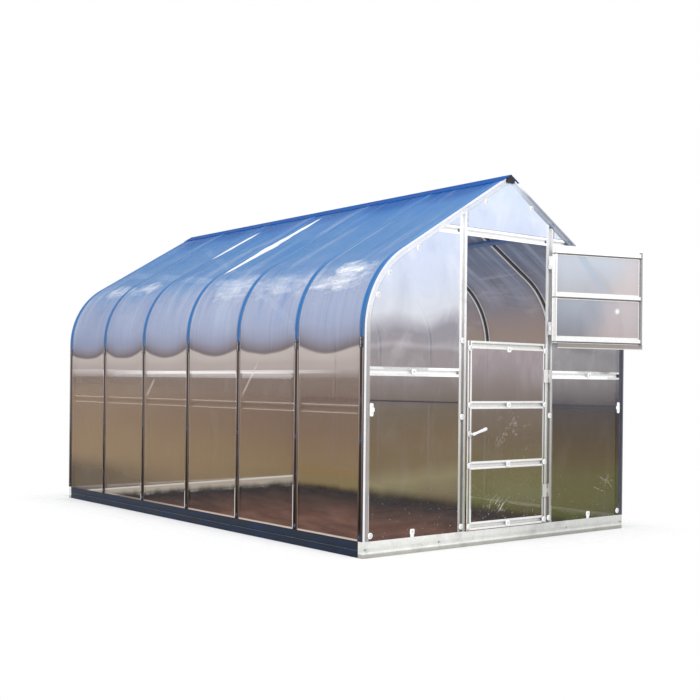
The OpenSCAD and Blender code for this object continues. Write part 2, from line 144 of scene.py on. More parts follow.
class Net:
    """Adds and links the nodes of one tree."""

    def __init__(self, tree):
        self.tree = tree
        self.x = 0

    def add(self, kind, **values):
        node = self.tree.nodes.new(kind)
        self.x += 40
        node.location = (self.x, 0)
        for key, value in values.items():
            setattr(node, key, value)
        return node

    def out(self, node, key=0):
        return Value(self, node.outputs[key])

    def feed(self, socket, value):
        """Links a value, or sets a plain one; (r, g, b) is a screen colour."""
        if isinstance(value, Value):
            self.tree.links.new(value.socket, socket)
        elif socket.type == "RGBA" and len(value) == 3:
            socket.default_value = srgb(*value)
        else:
            socket.default_value = value

    def math(self, operation, *values, clamp=False):
        node = self.add("ShaderNodeMath", operation=operation, use_clamp=clamp)
        for socket, value in zip(node.inputs, values):
            self.feed(socket, value)
        return self.out(node)

    def mix(self, factor, a, b, mode="MIX"):
        node = self.add("ShaderNodeMix", data_type="RGBA", blend_type=mode)
        for k, value in ((0, factor), (6, a), (7, b)):
            self.feed(node.inputs[k], value)
        return self.out(node, 2)

    def layers(self, colour, *coats):
        """Lays (mask, colour) coats over a colour, one after the other."""
        for mask, tone in coats:
            colour = self.mix(mask, colour, tone)
        return colour

    def by_height(self, height, rows):
        """Ramp over the height; rows are (metres, r, g, b) or (metres, share)."""
        node = self.add("ShaderNodeValToRGB")
        elements = node.color_ramp.elements
        while len(elements) < len(rows):
            elements.new(0.5)
        for element, (at, *tone) in zip(elements, rows):
            element.position = at / TOP
            element.color = srgb(*tone) if len(tone) == 3 else (*tone * 3, 1.0)
        self.feed(node.inputs[0], height / TOP)
        return self.out(node)

    def noise(self, vector, scale, detail=3.0, rough=0.55, distortion=0.0):
        node = self.add("ShaderNodeTexNoise")
        for key, value in (("Vector", vector), ("Scale", scale), ("Detail", detail),
                           ("Roughness", rough), ("Distortion", distortion)):
            self.feed(node.inputs[key], value)
        return self.out(node)

    def stretch(self, vector, scale):
        node = self.add("ShaderNodeMapping")
        self.feed(node.inputs["Vector"], vector)
        self.feed(node.inputs["Scale"], scale)
        return self.out(node)

    def split(self, vector):
        node = self.add("ShaderNodeSeparateXYZ")
        self.feed(node.inputs[0], vector)
        return [self.out(node, k) for k in range(3)]

    def join(self, *parts):
        node = self.add("ShaderNodeCombineXYZ")
        for socket, value in zip(node.inputs, parts):
            self.feed(socket, value)
        return self.out(node)

    def distance(self, u, v):
        node = self.add("ShaderNodeVectorMath", operation="LENGTH")
        self.feed(node.inputs[0], self.join(u, 0.0, v))
        return self.out(node, "Value")

    def coordinate(self, kind):
        return self.out(self.add("ShaderNodeTexCoord"), kind)


class Surface(Net):
    """The nodes of a new material, round its one Principled shader."""

    def __init__(self, name):
        self.material = bpy.data.materials.new(name)
        self.material.use_nodes = True
        super().__init__(self.material.node_tree)

    def finish(self, colour, rough, relief=None, specular=0.5, metallic=0.0, alpha=1.0):
        """Feeds the shader; relief is (height, strength, depth in metres)."""
        shader = self.tree.nodes["Principled BSDF"]
        for label, value in (("Base Color", colour), ("Roughness", rough), ("Metallic", metallic),
                             ("Specular IOR Level", specular), ("Alpha", alpha)):
            self.feed(shader.inputs[label], value)
        if relief:
            bump = self.add("ShaderNodeBump")
            for label, value in zip(("Height", "Strength", "Distance"), relief):
                self.feed(bump.inputs[label], value)
            self.feed(shader.inputs["Normal"], self.out(bump))
        return self.material

    def finish_zinc(self, zinc, colour, specular=0.5, metallic=0.0, strength=0.12):
        """Finish with the roughness and relief of the galvanised spangle."""
        relief = (zinc["Height"], strength, 0.001)
        return self.finish(colour, zinc["Roughness"], relief, specular, metallic)


def new_surface(name):
    """A material's nodes, the point that is being shaded and its x, y and z."""
    net = Surface(name)
    place = net.coordinate("Object")
    return net, place, net.split(place)


def srgb(r, g, b):
    """Linear colour of a 0-255 screen colour."""
    def one(v):
        v = v / 255.0
        return v / 12.92 if v <= 0.04045 else ((v + 0.055) / 1.055) ** 2.4
    return (one(r), one(g), one(b), 1.0)


# ---------------------------------------------------------------- shared groups

ORIGIN = (0, 0, 0)


def new_group(name, inputs, outputs):
    """Empty shader node group: its net and its inputs' values by name. The
    kind of an input follows from its default: number, vector or colour."""
    group = bpy.data.node_groups.new(name, "ShaderNodeTree")
    for label, default in inputs.items():
        kind = {0: "Float", 3: "Vector", 4: "Color"}[len(default) if isinstance(default, tuple) else 0]
        socket = group.interface.new_socket(name=label, in_out="INPUT", socket_type="NodeSocket" + kind)
        socket.default_value = default
    for label in outputs:
        kind = "Color" if label == "Colour" else "Float"
        group.interface.new_socket(name=label, in_out="OUTPUT", socket_type="NodeSocket" + kind)
    net = Net(group)
    entry = net.add("NodeGroupInput")
    return net, {label: net.out(entry, label) for label in inputs}


def close_group(net, **results):
    exit_node = net.add("NodeGroupOutput")
    for label, value in results.items():
        net.feed(exit_node.inputs[label], value)
    return net.tree


def use_group(net, group, **values):
    """Outputs by name of a group that is fed with these values."""
    node = net.add("ShaderNodeGroup", node_tree=group)
    for key, value in values.items():
        net.feed(node.inputs[key.replace("_", " ")], value)
    return {socket.name: net.out(node, socket.name) for socket in node.outputs}


def build_flute_group():
    """Twin-wall flutes: a fine ribbed height and line tint along one axis."""
    net, given = new_group("sheet flutes", {"Across": 0.0, "Pitch": FLUTE}, ("Height", "Line"))
    away = abs((given["Across"] / given["Pitch"]).fraction() - 0.5)
    return close_group(net, Height=away.rise(0.3, 0.5, smooth=True), Line=away.rise(0.4, 0.5))


def build_haze_group():
    """Wiping marks and dust on the sheets, from 0 to 1."""
    net, given = new_group("sheet haze", {"Place": ORIGIN}, ("Streaks", "Patches"))
    place = given["Place"]
    streak = net.noise(net.stretch(place, (5.0, 0.9, 1.6)), 1.6, 4.0, 0.62, 0.6)
    patch = net.noise(place, 1.3, 3.0, 0.5, 0.3)
    return close_group(net, Streaks=streak.rise(0.5, 0.72, smooth=True),
                       Patches=patch.rise(0.42, 0.68, smooth=True))


def build_spangle_group():
    """Galvanised spangle with rolled streaks, grime and a height for the bump."""
    net, given = new_group(
        "galvanised spangle",
        {"Place": ORIGIN, "Clean": (0.8, 0.81, 0.83, 1), "Grime": (0.35, 0.34, 0.32, 1), "Dirt": 0.3},
        ("Colour", "Roughness", "Height"))
    place = given["Place"]
    cells = net.add("ShaderNodeTexVoronoi")
    net.feed(cells.inputs["Vector"], place)
    net.feed(cells.inputs["Scale"], 90.0)
    grain = net.add("ShaderNodeSeparateColor")
    net.feed(grain.inputs[0], net.out(cells, "Color"))
    red, green, blue = (net.out(grain, k) for k in range(3))
    cloud = net.noise(place, 6.0, 4.0, 0.6)
    foot = net.split(place)[2].fall(0.0, 0.16)
    dirt = cloud.rise(0.52, 0.75, smooth=True) + foot * cloud.rise(0.35, 0.6)
    dirt = net.math("MULTIPLY", dirt, given["Dirt"], clamp=True)
    tone = red.between(0.93, 1.03)
    base = net.mix(1.0, given["Clean"], net.join(tone, tone, tone), "MULTIPLY")
    return close_group(net, Colour=net.mix(dirt, base, given["Grime"]),
                       Roughness=green.between(0.36, 0.50) + dirt * 0.25, Height=blue + cloud)


def build_outward_group():
    """1 on faces that look out of the house, 0 on faces that look in."""
    net, given = new_group(
        "outward face", {"Place": ORIGIN, "Facing": ORIGIN, "Sides": 1.0, "Ends": 0.0}, ("Outside",))
    x, y, z = net.split(given["Place"])
    fx, fy, fz = net.split(given["Facing"])
    side = (x * fx + (z - 1.2) * fz) * given["Sides"]
    end = (y - HOUSE_Y1 / 2) * fy * given["Ends"]
    return close_group(net, Outside=net.math("GREATER_THAN", side + end, 0.0))


def build_member_group():
    """1 over a flat member that the sheet lies on, with a soft edge."""
    net, given = new_group(
        "member behind",
        {"Along": 0.0, "Height": 0.0, "Middle": 0.0, "Half Width": 0.03, "Level": 1.0,
         "Half Height": 0.5}, ("Mask",))
    reach = abs(given["Along"] - given["Middle"]) - given["Half Width"]
    rise = abs(given["Height"] - given["Level"]) - given["Half Height"]
    return close_group(net, Mask=larger(reach, rise).fall(0.0, 0.003))


def build_inset_group():
    """How far a point of the end wall lies inside the arch's outer line."""
    net, given = new_group("inset from arch", {"Along": 0.0, "Height": 0.0}, ("Inset",))
    dx = abs(given["Along"]) - ARC_X
    dz = larger(given["Height"] - WALL_H, 0.0)
    out = dx * math.sin(PITCH) + dz * math.cos(PITCH)
    up = smaller(dz * math.sin(PITCH) - dx * math.cos(PITCH), 0.0)
    return close_group(net, Inset=EAVE_R - (out * out + up * up).root())


def build_fold_group():
    """1 on the sloping webs of an upright folded section, 0 on its flats."""
    net, given = new_group("fold shade", {"Facing": ORIGIN}, ("Web",))
    return close_group(net, Web=abs(net.split(given["Facing"])[1]).fall(0.86, 0.96))


OUTWARD = build_outward_group()
MEMBER = build_member_group()
INSET = build_inset_group()
FLUTES = build_flute_group()
HAZE = build_haze_group()
SPANGLE = build_spangle_group()
FOLD = build_fold_group()


# ---------------------------------------------------------------- sheet materials

SHADE = 0.06                # how much shade a sheet throws
HORIZON_FALL = 0.0217       # fall of the mirrored horizon towards +X
PIN = (0.400, -0.014)       # x, y of the hinge pins
LEAF_AXIS = (0.2756, 0.9613)    # square to the open upper leaf
ARCH_BAND = 0.044           # width of the end arch behind the sheet
OVER_STEEL = 0.05           # how much a sheet covers where it lies on steel

# ramp rows: (height, r, g, b) for colours, (height, share) for how much a sheet covers
INNER_ROWS = [
    (0.05, 140, 126, 98), (0.30, 122, 106, 80), (0.53, 122, 104, 80), (0.75, 118, 102, 86),
    (0.97, 126, 114, 104), (1.20, 140, 128, 122), (1.32, 140, 122, 116), (1.45, 140, 120, 110),
    (1.60, 134, 118, 118), (1.85, 112, 112, 130), (2.05, 88, 100, 128), (2.47, 72, 90, 126)]
# cover colour by height: painted sky reflection in blue above the eave, the painted reflection of the
# horizon as the dark line at 1.31 m, painted shade just under the ridge cap
COVER_ROWS = [
    (0.100, 206, 188, 174), (0.110, 190, 172, 158), (0.114, 104, 78, 58), (0.50, 126, 104, 72),
    (0.62, 124, 100, 74), (0.74, 118, 94, 76), (0.90, 116, 94, 80), (1.08, 118, 100, 90),
    (1.15, 180, 168, 164), (1.22, 188, 176, 170), (1.298, 190, 180, 174), (1.312, 98, 90, 94),
    (1.345, 124, 120, 132), (1.40, 144, 149, 170), (1.48, 156, 165, 191), (1.57, 158, 169, 196),
    (1.66, 160, 170, 197), (1.75, 154, 168, 198), (1.82, 134, 160, 197), (1.88, 108, 144, 190),
    (2.00, 84, 134, 188), (2.20, 82, 134, 190), (2.34, 68, 126, 190), (2.42, 28, 94, 168)]
COVER_ALPHA = [
    (0.10, 0.76), (0.90, 0.76), (1.05, 0.66), (1.20, 0.60), (1.26, 0.72), (1.40, 0.86), (2.47, 0.94)]
LEFT_ROWS = [
    (0.10, 80, 54, 44), (0.34, 104, 94, 70), (0.46, 128, 118, 88), (0.56, 110, 94, 68),
    (0.72, 106, 88, 64), (0.88, 102, 90, 76), (1.05, 120, 110, 108), (1.16, 144, 136, 138),
    (1.27, 144, 138, 142), (1.30, 168, 164, 168), (1.33, 146, 142, 150), (1.38, 148, 145, 153),
    (1.43, 178, 178, 186), (1.50, 214, 217, 224), (1.68, 208, 215, 232), (1.90, 208, 217, 238),
    (2.45, 216, 228, 246)]
RIGHT_ROWS = [
    (0.10, 66, 68, 36), (0.17, 76, 78, 36), (0.28, 82, 82, 36), (0.43, 86, 82, 44), (0.57, 78, 64, 38),
    (0.72, 66, 56, 42), (0.87, 60, 56, 58), (1.02, 110, 106, 110), (1.23, 142, 140, 143),
    (1.50, 170, 172, 180), (1.80, 212, 216, 228), (2.45, 224, 234, 248)]
DOOR_ROWS = [
    (0.10, 72, 56, 42), (0.30, 92, 94, 50), (0.40, 100, 96, 54), (0.55, 102, 92, 62),
    (0.70, 100, 86, 68), (0.86, 108, 96, 84), (1.03, 124, 112, 108), (1.20, 150, 138, 142),
    (1.345, 156, 146, 150)]
LEAF_ROWS = [
    (1.30, 130, 128, 130), (1.40, 132, 132, 137), (1.52, 142, 146, 157), (1.64, 158, 163, 174),
    (1.72, 174, 174, 180), (1.88, 184, 190, 200), (2.06, 200, 204, 212)]
END_ALPHA = [
    (0.1, 0.80), (0.5, 0.80), (1.1, 0.76), (1.16, 0.76), (1.45, 0.80), (1.7, 0.90), (2.4, 0.92)]
DOOR_ALPHA = [(0.1, 0.78), (1.4, 0.78)]
# ends of a stroke on a sheet
STRAWS = (((0.96, 0.41), (1.12, 0.33)), ((1.00, 0.37), (1.15, 0.36)), ((1.09, 0.42), (1.04, 0.31)),
          ((1.12, 0.40), (0.98, 0.34)), ((0.90, 0.33), (1.05, 0.28)), ((1.05, 0.39), (1.15, 0.29)))
# ends and width of a painted reflection streak
REFLECTION_STREAKS = (((1.138, 1.211), (1.359, 0.947), 0.016), ((2.609, 1.085), (2.755, 0.932), 0.020))
# x, y, lean, first and last x, width
GLINTS = ((-0.97, 2.03, -0.134, -0.99, -0.13, 0.085), (-0.61, 2.77, -0.175, -0.66, -0.20, 0.060))
# y, z, half length, half height, strength
GLARES = ((0.33, 1.780, 0.17, 0.046, 0.95), (0.42, 1.705, 0.26, 0.050, 0.70),
          (0.96, 1.720, 0.30, 0.080, 0.34), (1.62, 1.740, 0.27, 0.085, 0.46),
          (3.15, 1.835, 0.19, 0.045, 0.50), (3.68, 1.840, 0.24, 0.050, 0.52))


def loose_parts(name):
    """(lowest, highest) corner of each separate solid of a CAD node."""
    bm = bmesh.new()
    bm.from_mesh(nodes[name].data)
    bmesh.ops.remove_doubles(bm, verts=bm.verts, dist=1e-6)
    left, boxes = set(bm.verts), []
    while left:
        queue, points = [left.pop()], []
        for vert in queue:
            points.append(nodes[name].matrix_world @ vert.co)
            joined = {edge.other_vert(vert) for edge in vert.link_edges} & left
            left -= joined
            queue.extend(joined)
        boxes.append([Vector([pick(p[k] for p in points) for k in range(3)]) for pick in (min, max)])
    bm.free()
    return sorted(boxes, key=lambda pair: tuple(round(v, 4) for v in pair[0]))


def across_leaf(net, place):
    """Distance from the hinge pin along the upper leaf, which stands open."""
    x, y, _ = net.split(place)
    return (x - PIN[0]) * LEAF_AXIS[1] - (y - PIN[1]) * LEAF_AXIS[0]


def facing_parts(net, place, sides, ends):
    """1 on the outer faces of the long sides or of the ends."""
    return use_group(net, OUTWARD, Place=place, Facing=net.coordinate("Normal"),
                     Sides=sides, Ends=ends)["Outside"]


def see_through(net, alpha):
    """The face turned to the viewer tints; the one behind it is left clear.
    Part of the daylight gets in through the sheet."""
    back = net.out(net.add("ShaderNodeNewGeometry"), "Backfacing")
    path = net.add("ShaderNodeLightPath")
    daylight = larger(net.out(path, "Is Shadow Ray"), net.out(path, "Is Diffuse Ray"))
    return alpha * (1.0 - back) * daylight.between(1.0, SHADE)


def galvanise(net, place, clean, grime, dirt=0.25):
    """Colour, roughness and height of spangled zinc with some grime on it."""
    return use_group(net, SPANGLE, Place=place, Clean=clean, Grime=grime, Dirt=dirt)


def inside_view(net, place, streaks):
    """What the inner faces show: streaked blue overhead, beds and path lower down."""
    x, y, z = net.split(place)
    wave = net.noise(net.stretch(place, (0.5, 0.9, 1.4)), 1.6, 3.0).spread(0.3, 0.7, -0.08, 0.08)
    colour = net.by_height(z + wave, INNER_ROWS)
    beam = net.noise(net.join(x * 0.5, y * 9.0, z), 1.2, 4.0, 0.6)
    high = z.rise(1.65, 1.95)
    colour = net.mix(beam.spread(0.5, 0.68, 0.0, 0.55) * high, colour, (150, 160, 184))
    colour = net.mix(beam.spread(0.46, 0.34, 0.0, 0.45) * high, colour, (52, 58, 76))
    return net.mix(streaks * 0.16, colour, (214, 216, 222))


def stroke(u, v, start, end, width):
    """A soft straight stroke between two points of a sheet, fading to its ends: straws seen through a
    sheet and painted reflection streaks.
    """
    du, dv = end[0] - start[0], end[1] - start[1]
    length = math.hypot(du, dv)
    du, dv = du / length, dv / length
    away_u, away_v = u - start[0], v - start[1]
    along = away_u * du + away_v * dv
    ends = along.rise(0.0, length * 0.2) * along.fall(length * 0.8, length)
    return abs(away_v * du - away_u * dv).fall(0.0, width, smooth=True) * ends


def soil_behind(net, place, top, blur=0.012):
    """Mask and colour of the dark bed that shows low down through a sheet,
    and the height over its far edge."""
    ragged = net.noise(place, 5.0, 3.0).spread(0.3, 0.7, -0.012, 0.012)
    height = net.split(place)[2] - top + ragged
    mask = height.fall(-0.04, blur, smooth=True)
    rows = net.noise(net.stretch(place, (0.8, 0.8, 6.0)), 3.0, 4.0, 0.6)
    deep = net.mix(rows.rise(0.4, 0.68), (24, 17, 14), (42, 29, 24))
    near = net.mix(rows.rise(0.4, 0.68), (78, 48, 36), (104, 72, 58))
    return (mask, net.mix(height.rise(-0.2, -0.05), near, deep), height)


def blot(y, z, rough, at_y, at_z, half_y, half_z):
    """A ragged patch of painted glare on the bend of the eave, 0 to 1."""
    dy, dz = (y - at_y) / half_y, (z - at_z) / half_z
    return ((dy * dy + dz * dz).root() + rough).fall(0.45, 1.4)


def glint(net, x, y, at_x, at_y, lean, x0, x1, width):
    """A painted glint: a bright line on the left slope, close in front of an arch."""
    off = abs(y - (at_y + (x - at_x) * lean))
    part = x.rise(x0, x1)
    swell = part * (1.0 - part) * 4.0
    thick = net.noise(net.join(x, 0.0, 0.0), 4.0, 2.0).spread(0.35, 0.65, 0.45, 1.0)
    ends = x.rise(x0, x0 + 0.05) * x.fall(x1 - 0.05, x1)
    return (off / (thick * swell.between(0.12, 1.0) * width)).fall(0.8, 1.1) * ends


def beds_and_path(y, z):
    """Coats of the wall: warmer to the back, with shade over the far beds."""
    warm = y.spread(0.8, 4.0, 0.0, 0.55) * z.fall(0.98, 1.1)
    shade = y.rise(1.8, 3.4) * z.spread(0.24, 0.44, 0.8, 0.0, smooth=True)
    green = z.near(0.42, 0.05) * y.spread(0.2, 1.6, 0.35, 0.0)
    return (warm, (162, 138, 112)), (shade, (70, 60, 50)), (green, (112, 110, 72))


def sky_sweeps(net, place, z, roof):
    """Coats of the roof: painted sky reflection in long soft pale and deep bands, and hair lines down
    the sheet's fall.
    """
    sweep = net.noise(net.stretch(place, (0.7, 3.4, 0.7)), 1.5, 4.0, 0.6, 0.4)
    pale = sweep.rise(0.5, 0.7, smooth=True) * z.spread(1.5, 2.3, 0.5, 0.32)
    deep = sweep.rise(0.46, 0.32, smooth=True) * z.spread(1.35, 2.0, 0.0, 0.5)
    hair = net.noise(net.stretch(place, (1.2, 60.0, 1.2)), 1.0, 3.0, 0.7)
    fine = z.spread(1.22, 1.4, 0.25, 1.0)
    return ((pale * roof, (184, 196, 218)), (deep, (62, 120, 190)),
            (hair.spread(0.56, 0.74, 0.0, 0.13) * fine, (206, 212, 228)),
            (hair.spread(0.44, 0.28, 0.0, 0.2) * fine, (70, 84, 110)))


def eave_glare(net, place, y, z):
    """Painted glare on the bend of the eaves, and the thin dark streaks of painted twig reflections that
    break it.
    """
    streaks = net.noise(net.stretch(place, (3.0, 3.0, 26.0)), 1.6, 4.0, 0.62, 0.3)
    rough = net.noise(net.stretch(place, (4.0, 5.0, 14.0)), 1.5, 4.0, 0.6)
    rough = rough.spread(0.3, 0.7, -0.45, 0.55)
    glare = larger(*[blot(y, z, rough, *patch) * share for *patch, share in GLARES])
    belt = z.rise(1.6, 1.66) * z.fall(1.8, 1.86) * y.spread(1.0, 2.4, 0.42, 0.1)
    return glare * streaks.spread(0.4, 0.56, 0.45, 1.0), abs(streaks - 0.5).fall(0.0, 0.016) * belt


def roof_marks(net, place, x, y, z, roof):
    """Coats of the roof: painted reflections of branches, darker patches in the painted sky reflection,
    and two painted glint lines.
    """
    branch_reflection = net.noise(net.stretch(place, (2.0, 3.2, 2.0)), 2.2, 5.0, 0.7, 1.6)
    branch_reflection = abs(branch_reflection - 0.5).fall(0.0, 0.02) * (z.rise(1.5, 1.66) * z.fall(2.1, 2.35))
    cloud = net.noise(place, 1.9, 4.0, 0.6, 0.4).spread(0.52, 0.7, 0.0, 0.22)
    lines = larger(*[glint(net, x, y, *line) for line in GLINTS])
    return (branch_reflection * 0.22, (70, 92, 132)), (cloud * roof, (72, 118, 182)), (lines, (250, 251, 254))


def rail_and_reflection_streaks(x, y, z):
    """Coats of the left wall: the pale far rail, and two long painted reflection streaks."""
    side = x.rise(-1.0, -1.1)
    rail = z.near(1.13, 0.01) * side * (y.rise(0.2, 0.95) * y.fall(2.4, 3.2))
    reflection_streak = larger(*[stroke(y, z, *mark) for mark in REFLECTION_STREAKS])
    return (rail * 0.9, (248, 240, 238)), (reflection_streak * 0.5 * side, (226, 216, 208))


def make_cover_material():
    """Side and roof sheets: a blue painted sky reflection where they face the sky, smoky over the beds.
    """
    net, place, (x, y, z) = new_surface("cover sheet")
    outside = facing_parts(net, place, 1.0, 0.0)
    haze = use_group(net, HAZE, Place=place)
    # the painted reflection of the horizon sags in the middle of each bay
    bay = (y / BAY).fraction()
    lift = bay * (1.0 - bay) * 4.0 * 0.055 + net.noise(place, 1.7, 2.0).spread(0.3, 0.7, -0.012, 0.012)
    edge = z + lift * z.rise(1.17, 1.24)
    roof = z.rise(1.36, 1.6)
    # painted shade: the eave band darkens towards the back
    far_eave_shade = y.spread(1.8, 4.2, 0.0, 0.34) * z.fall(1.7, 1.85) * z.rise(1.32, 1.36)
    # painted glare, and the painted twig reflections that break it
    glare, twig_reflections = eave_glare(net, place, y, z)
    # the bed and the far sill over it, from the second bay on
    far_side = x.rise(-0.1, 0.1)
    top = far_side.between(smaller(0.502 - y * 0.114, 0.425), 0.2)
    soil, earth, over_soil = soil_behind(net, place, top)
    level = z - top
    sill = level.near(0.004, 0.03) * y.rise(0.66, 0.72) * (1.0 - far_side) * 0.8
    tint = net.mix(level.rise(0.02, 0.028), (166, 154, 140), (214, 206, 194))
    wall = net.layers(
        net.by_height(edge, COVER_ROWS), *beds_and_path(y, z), *sky_sweeps(net, place, z, roof),
        (far_eave_shade, (112, 132, 172)), (glare, (248, 249, 252)), (twig_reflections, (86, 98, 124)),
        *roof_marks(net, place, x, y, z, roof), *rail_and_reflection_streaks(x, y, z),
        (sill, tint), (soil * z.rise(0.11, 0.114), earth))
    flutes = use_group(net, FLUTES, Across=y, Pitch=FLUTE)
    lined = net.mix(flutes["Line"] * 0.08, wall, (225, 230, 238))
    near_bay = y.fall(0.65, 0.75) * over_soil.spread(0.1, 0.16, 0.96, 0.0)
    far_bay = y.spread(2.9, 3.4, 0.0, 0.9) * z.near(1.12, 0.04)
    alpha = larger(net.by_height(edge, COVER_ALPHA), sill, near_bay, far_bay, soil * 0.97, glare,
                   z.fall(0.11, 0.114))
    gap = abs((y / BAY + 0.5).fraction() - 0.5)
    rib = (gap * BAY).fall(0.028, 0.031)
    alpha = rib.between(alpha, z.spread(1.3, 1.45, OVER_STEEL, 0.62))
    alpha = outside.between(rib.between(0.93, 0.2), alpha)
    colour = net.mix(outside, inside_view(net, place, haze["Streaks"]), lined)
    return net.finish(colour, haze["Patches"].between(0.18, 0.36), (flutes["Height"], 0.1, 0.002),
                      specular=0.004, alpha=see_through(net, alpha))


def box_mask(net, x, z, low, high):
    """1 over a member of the frame, given by its box."""
    return use_group(net, MEMBER, Along=x, Height=z,
                     Middle=(low[0] + high[0]) / 2, Half_Width=(high[0] - low[0]) / 2,
                     Level=(low[2] + high[2]) / 2, Half_Height=(high[2] - low[2]) / 2)["Mask"]


def make_end_material(name, rows, alphas, members, arch=True, lift=0.0, marks=None):
    """End-wall and door sheets, tinted by height over the ground, clear where
    they lie on the frame. members are boxes of the frame parts behind."""
    net, place, (x, _, z) = new_surface(name)
    outside = facing_parts(net, place, 0.0, 1.0)
    haze = use_group(net, HAZE, Place=place)
    sway = net.noise(net.stretch(place, (1.0, 1.0, 0.4)), 2.2, 2.0).spread(0.3, 0.7, -0.03, 0.03)
    level = z + sway - x.spread(-0.8, -0.42, 0.0, lift, smooth=True) * z.rise(1.3, 1.42)
    sheen = net.noise(net.stretch(place, (2.6, 2.6, 1.7)), 1.5, 4.0, 0.6, 0.5)
    high = z.rise(1.0, 1.8)
    horizon = (z + x * HORIZON_FALL).near(0.929, 0.0032) * abs(x).rise(0.38, 0.44)
    wall = net.layers(
        net.by_height(level, rows),
        (sheen.spread(0.5, 0.7, 0.0, 0.5) * high, (244, 246, 252)),
        (sheen.spread(0.46, 0.3, 0.0, 0.28) * high, (160, 168, 190)),
        (haze["Streaks"] * z.spread(1.0, 1.6, 0.02, 0.1), (228, 233, 244)),
        (horizon, (58, 54, 62)))
    if marks:
        wall = net.mix(marks(net, place), wall, (214, 210, 206))
    bed, earth, over_bed = soil_behind(net, place, 0.206 - x * 0.168, 0.045)
    drops = net.noise(place, 70.0, 2.0).rise(0.66, 0.72) * (z.fall(0.1, 0.48) * 0.5)
    flutes = use_group(net, FLUTES, Across=x, Pitch=FLUTE)
    wall = net.layers(wall, (bed, earth), (drops, (222, 214, 208)),
                      (flutes["Line"] * 0.08, (225, 230, 238)))
    alpha = larger(net.by_height(level, alphas), over_bed.spread(0.05, 0.1, 0.97, 0.0))
    colour = net.mix(outside, inside_view(net, place, haze["Streaks"]), wall)
    masks = [box_mask(net, x, z, *member) for member in members]
    if arch:
        inset = use_group(net, INSET, Along=x, Height=z)["Inset"]
        masks.append(inset.fall(ARCH_BAND, ARCH_BAND + 0.003) * z.spread(1.4, 1.75, 0.45, 0.35))
        # painted shade line just inside the arch band, on the right-hand side
        rim = inset.fall(ARCH_BAND + 0.004, ARCH_BAND + 0.01)
        colour = net.mix(rim * x.spread(0.1, 0.3, 0.0, 0.75), colour, (74, 80, 100))
    mask = larger(*masks)
    shaded = x.rise(0.9, 1.0) * z.fall(1.5, 1.8)
    colour = net.mix(mask, colour, net.mix(shaded, (226, 226, 226), (70, 68, 80)))
    alpha = mask.between(outside.between(0.93, alpha), OVER_STEEL)
    return net.finish(colour, haze["Patches"].between(0.14, 0.3), (flutes["Height"], 0.1, 0.002),
                      specular=0.05, alpha=see_through(net, alpha))


def film_marks(net, place):
    """Crumpled protective film on the lower leaf: its creases as short bright slanting marks, which are
    painted highlights.
    """
    x, _, z = net.split(place)
    turned = net.join(x + z, 0.0, z - x)
    crease = net.noise(net.stretch(turned, (9.0, 1.0, 42.0)), 1.0, 4.0, 0.65, 0.8)
    fine = crease.rise(0.54, 0.66, smooth=True)
    foot = net.distance(x + 0.13, (z - 0.235) * 1.8).spread(0.05, 0.2, 0.85, 0.0, smooth=True)
    middle = net.distance(x - 0.04, z - 0.72).spread(0.08, 0.24, 0.42, 0.0, smooth=True)
    curls = net.noise(net.stretch(place, (26.0, 1.0, 30.0)), 1.0, 2.0, 0.5, 1.2).near(0.56, 0.02)
    curls = curls * net.noise(place, 11.0, 2.0).rise(0.5, 0.62)
    return larger(fine * foot, curls * middle)


def twig_marks(net, place):
    """Thin straw stalks that show low down through the right-hand sheet."""
    x, _, z = net.split(place)
    straw = larger(*[stroke(x, z, start, end, 0.005) for start, end in STRAWS])
    broken = net.noise(net.stretch(place, (40.0, 40.0, 40.0)), 1.0, 2.0).rise(0.4, 0.55)
    return straw * broken * 0.4


def leaf_members(low, high, rails, stile=0.038, rail=0.050):
    """Boxes of a leaf's two stiles and its evenly spread rails, seen square on."""
    boxes = [(low, (low[0] + stile, high[1], high[2])),
             ((high[0] - stile, low[1], low[2]), high)]
    for k in range(rails):
        level = low[2] + rail / 2 + k * (high[2] - low[2] - rail) / (rails - 1)
        boxes.append(((low[0], 0, level - rail / 2), (high[0], 0, level + rail / 2)))
    return boxes


# ---------------------------------------------------------------- steel and small parts

# ramp rows: (height, r, g, b)
POST_ROWS = [
    (0.10, 172, 170, 164), (0.50, 180, 178, 168), (0.85, 204, 202, 197), (1.12, 214, 212, 210),
    (1.30, 236, 235, 234), (1.60, 246, 245, 244), (2.00, 252, 252, 251)]
POST_WEBS = [
    (0.10, 128, 124, 118), (0.50, 132, 128, 118), (1.10, 156, 152, 149), (1.30, 184, 182, 181),
    (1.60, 226, 225, 224), (2.00, 236, 238, 240), (2.07, 246, 248, 252)]
STILE_ROWS = [
    (0.10, 214, 212, 208), (0.45, 204, 203, 194), (0.72, 224, 222, 217), (0.95, 240, 238, 236),
    (1.32, 246, 245, 243)]
# sill face: a painted highlight line at 26 to 34 mm, painted shade below it
SILL_ROWS = [
    (0.0, 172, 170, 162), (0.022, 182, 180, 172), (0.026, 250, 251, 249), (0.034, 250, 251, 249),
    (0.038, 224, 225, 219), (0.100, 230, 230, 226)]
RIB_ROWS = [(0.1, 160, 148, 138), (1.12, 176, 164, 156), (1.4, 206, 200, 198), (2.0, 208, 208, 214)]
ARCH_LIT = [(0.10, 140, 127, 121), (0.60, 144, 132, 127), (1.30, 160, 151, 147), (1.55, 232, 232, 236)]
ARCH_DARK = [
    (0.10, 92, 92, 84), (0.60, 70, 68, 78), (1.20, 84, 82, 96), (1.75, 104, 108, 126),
    (1.95, 128, 140, 162), (2.40, 150, 164, 184)]
UPPER_ROWS = [(1.34, 232, 231, 229), (1.72, 240, 239, 237), (1.95, 253, 253, 251)]
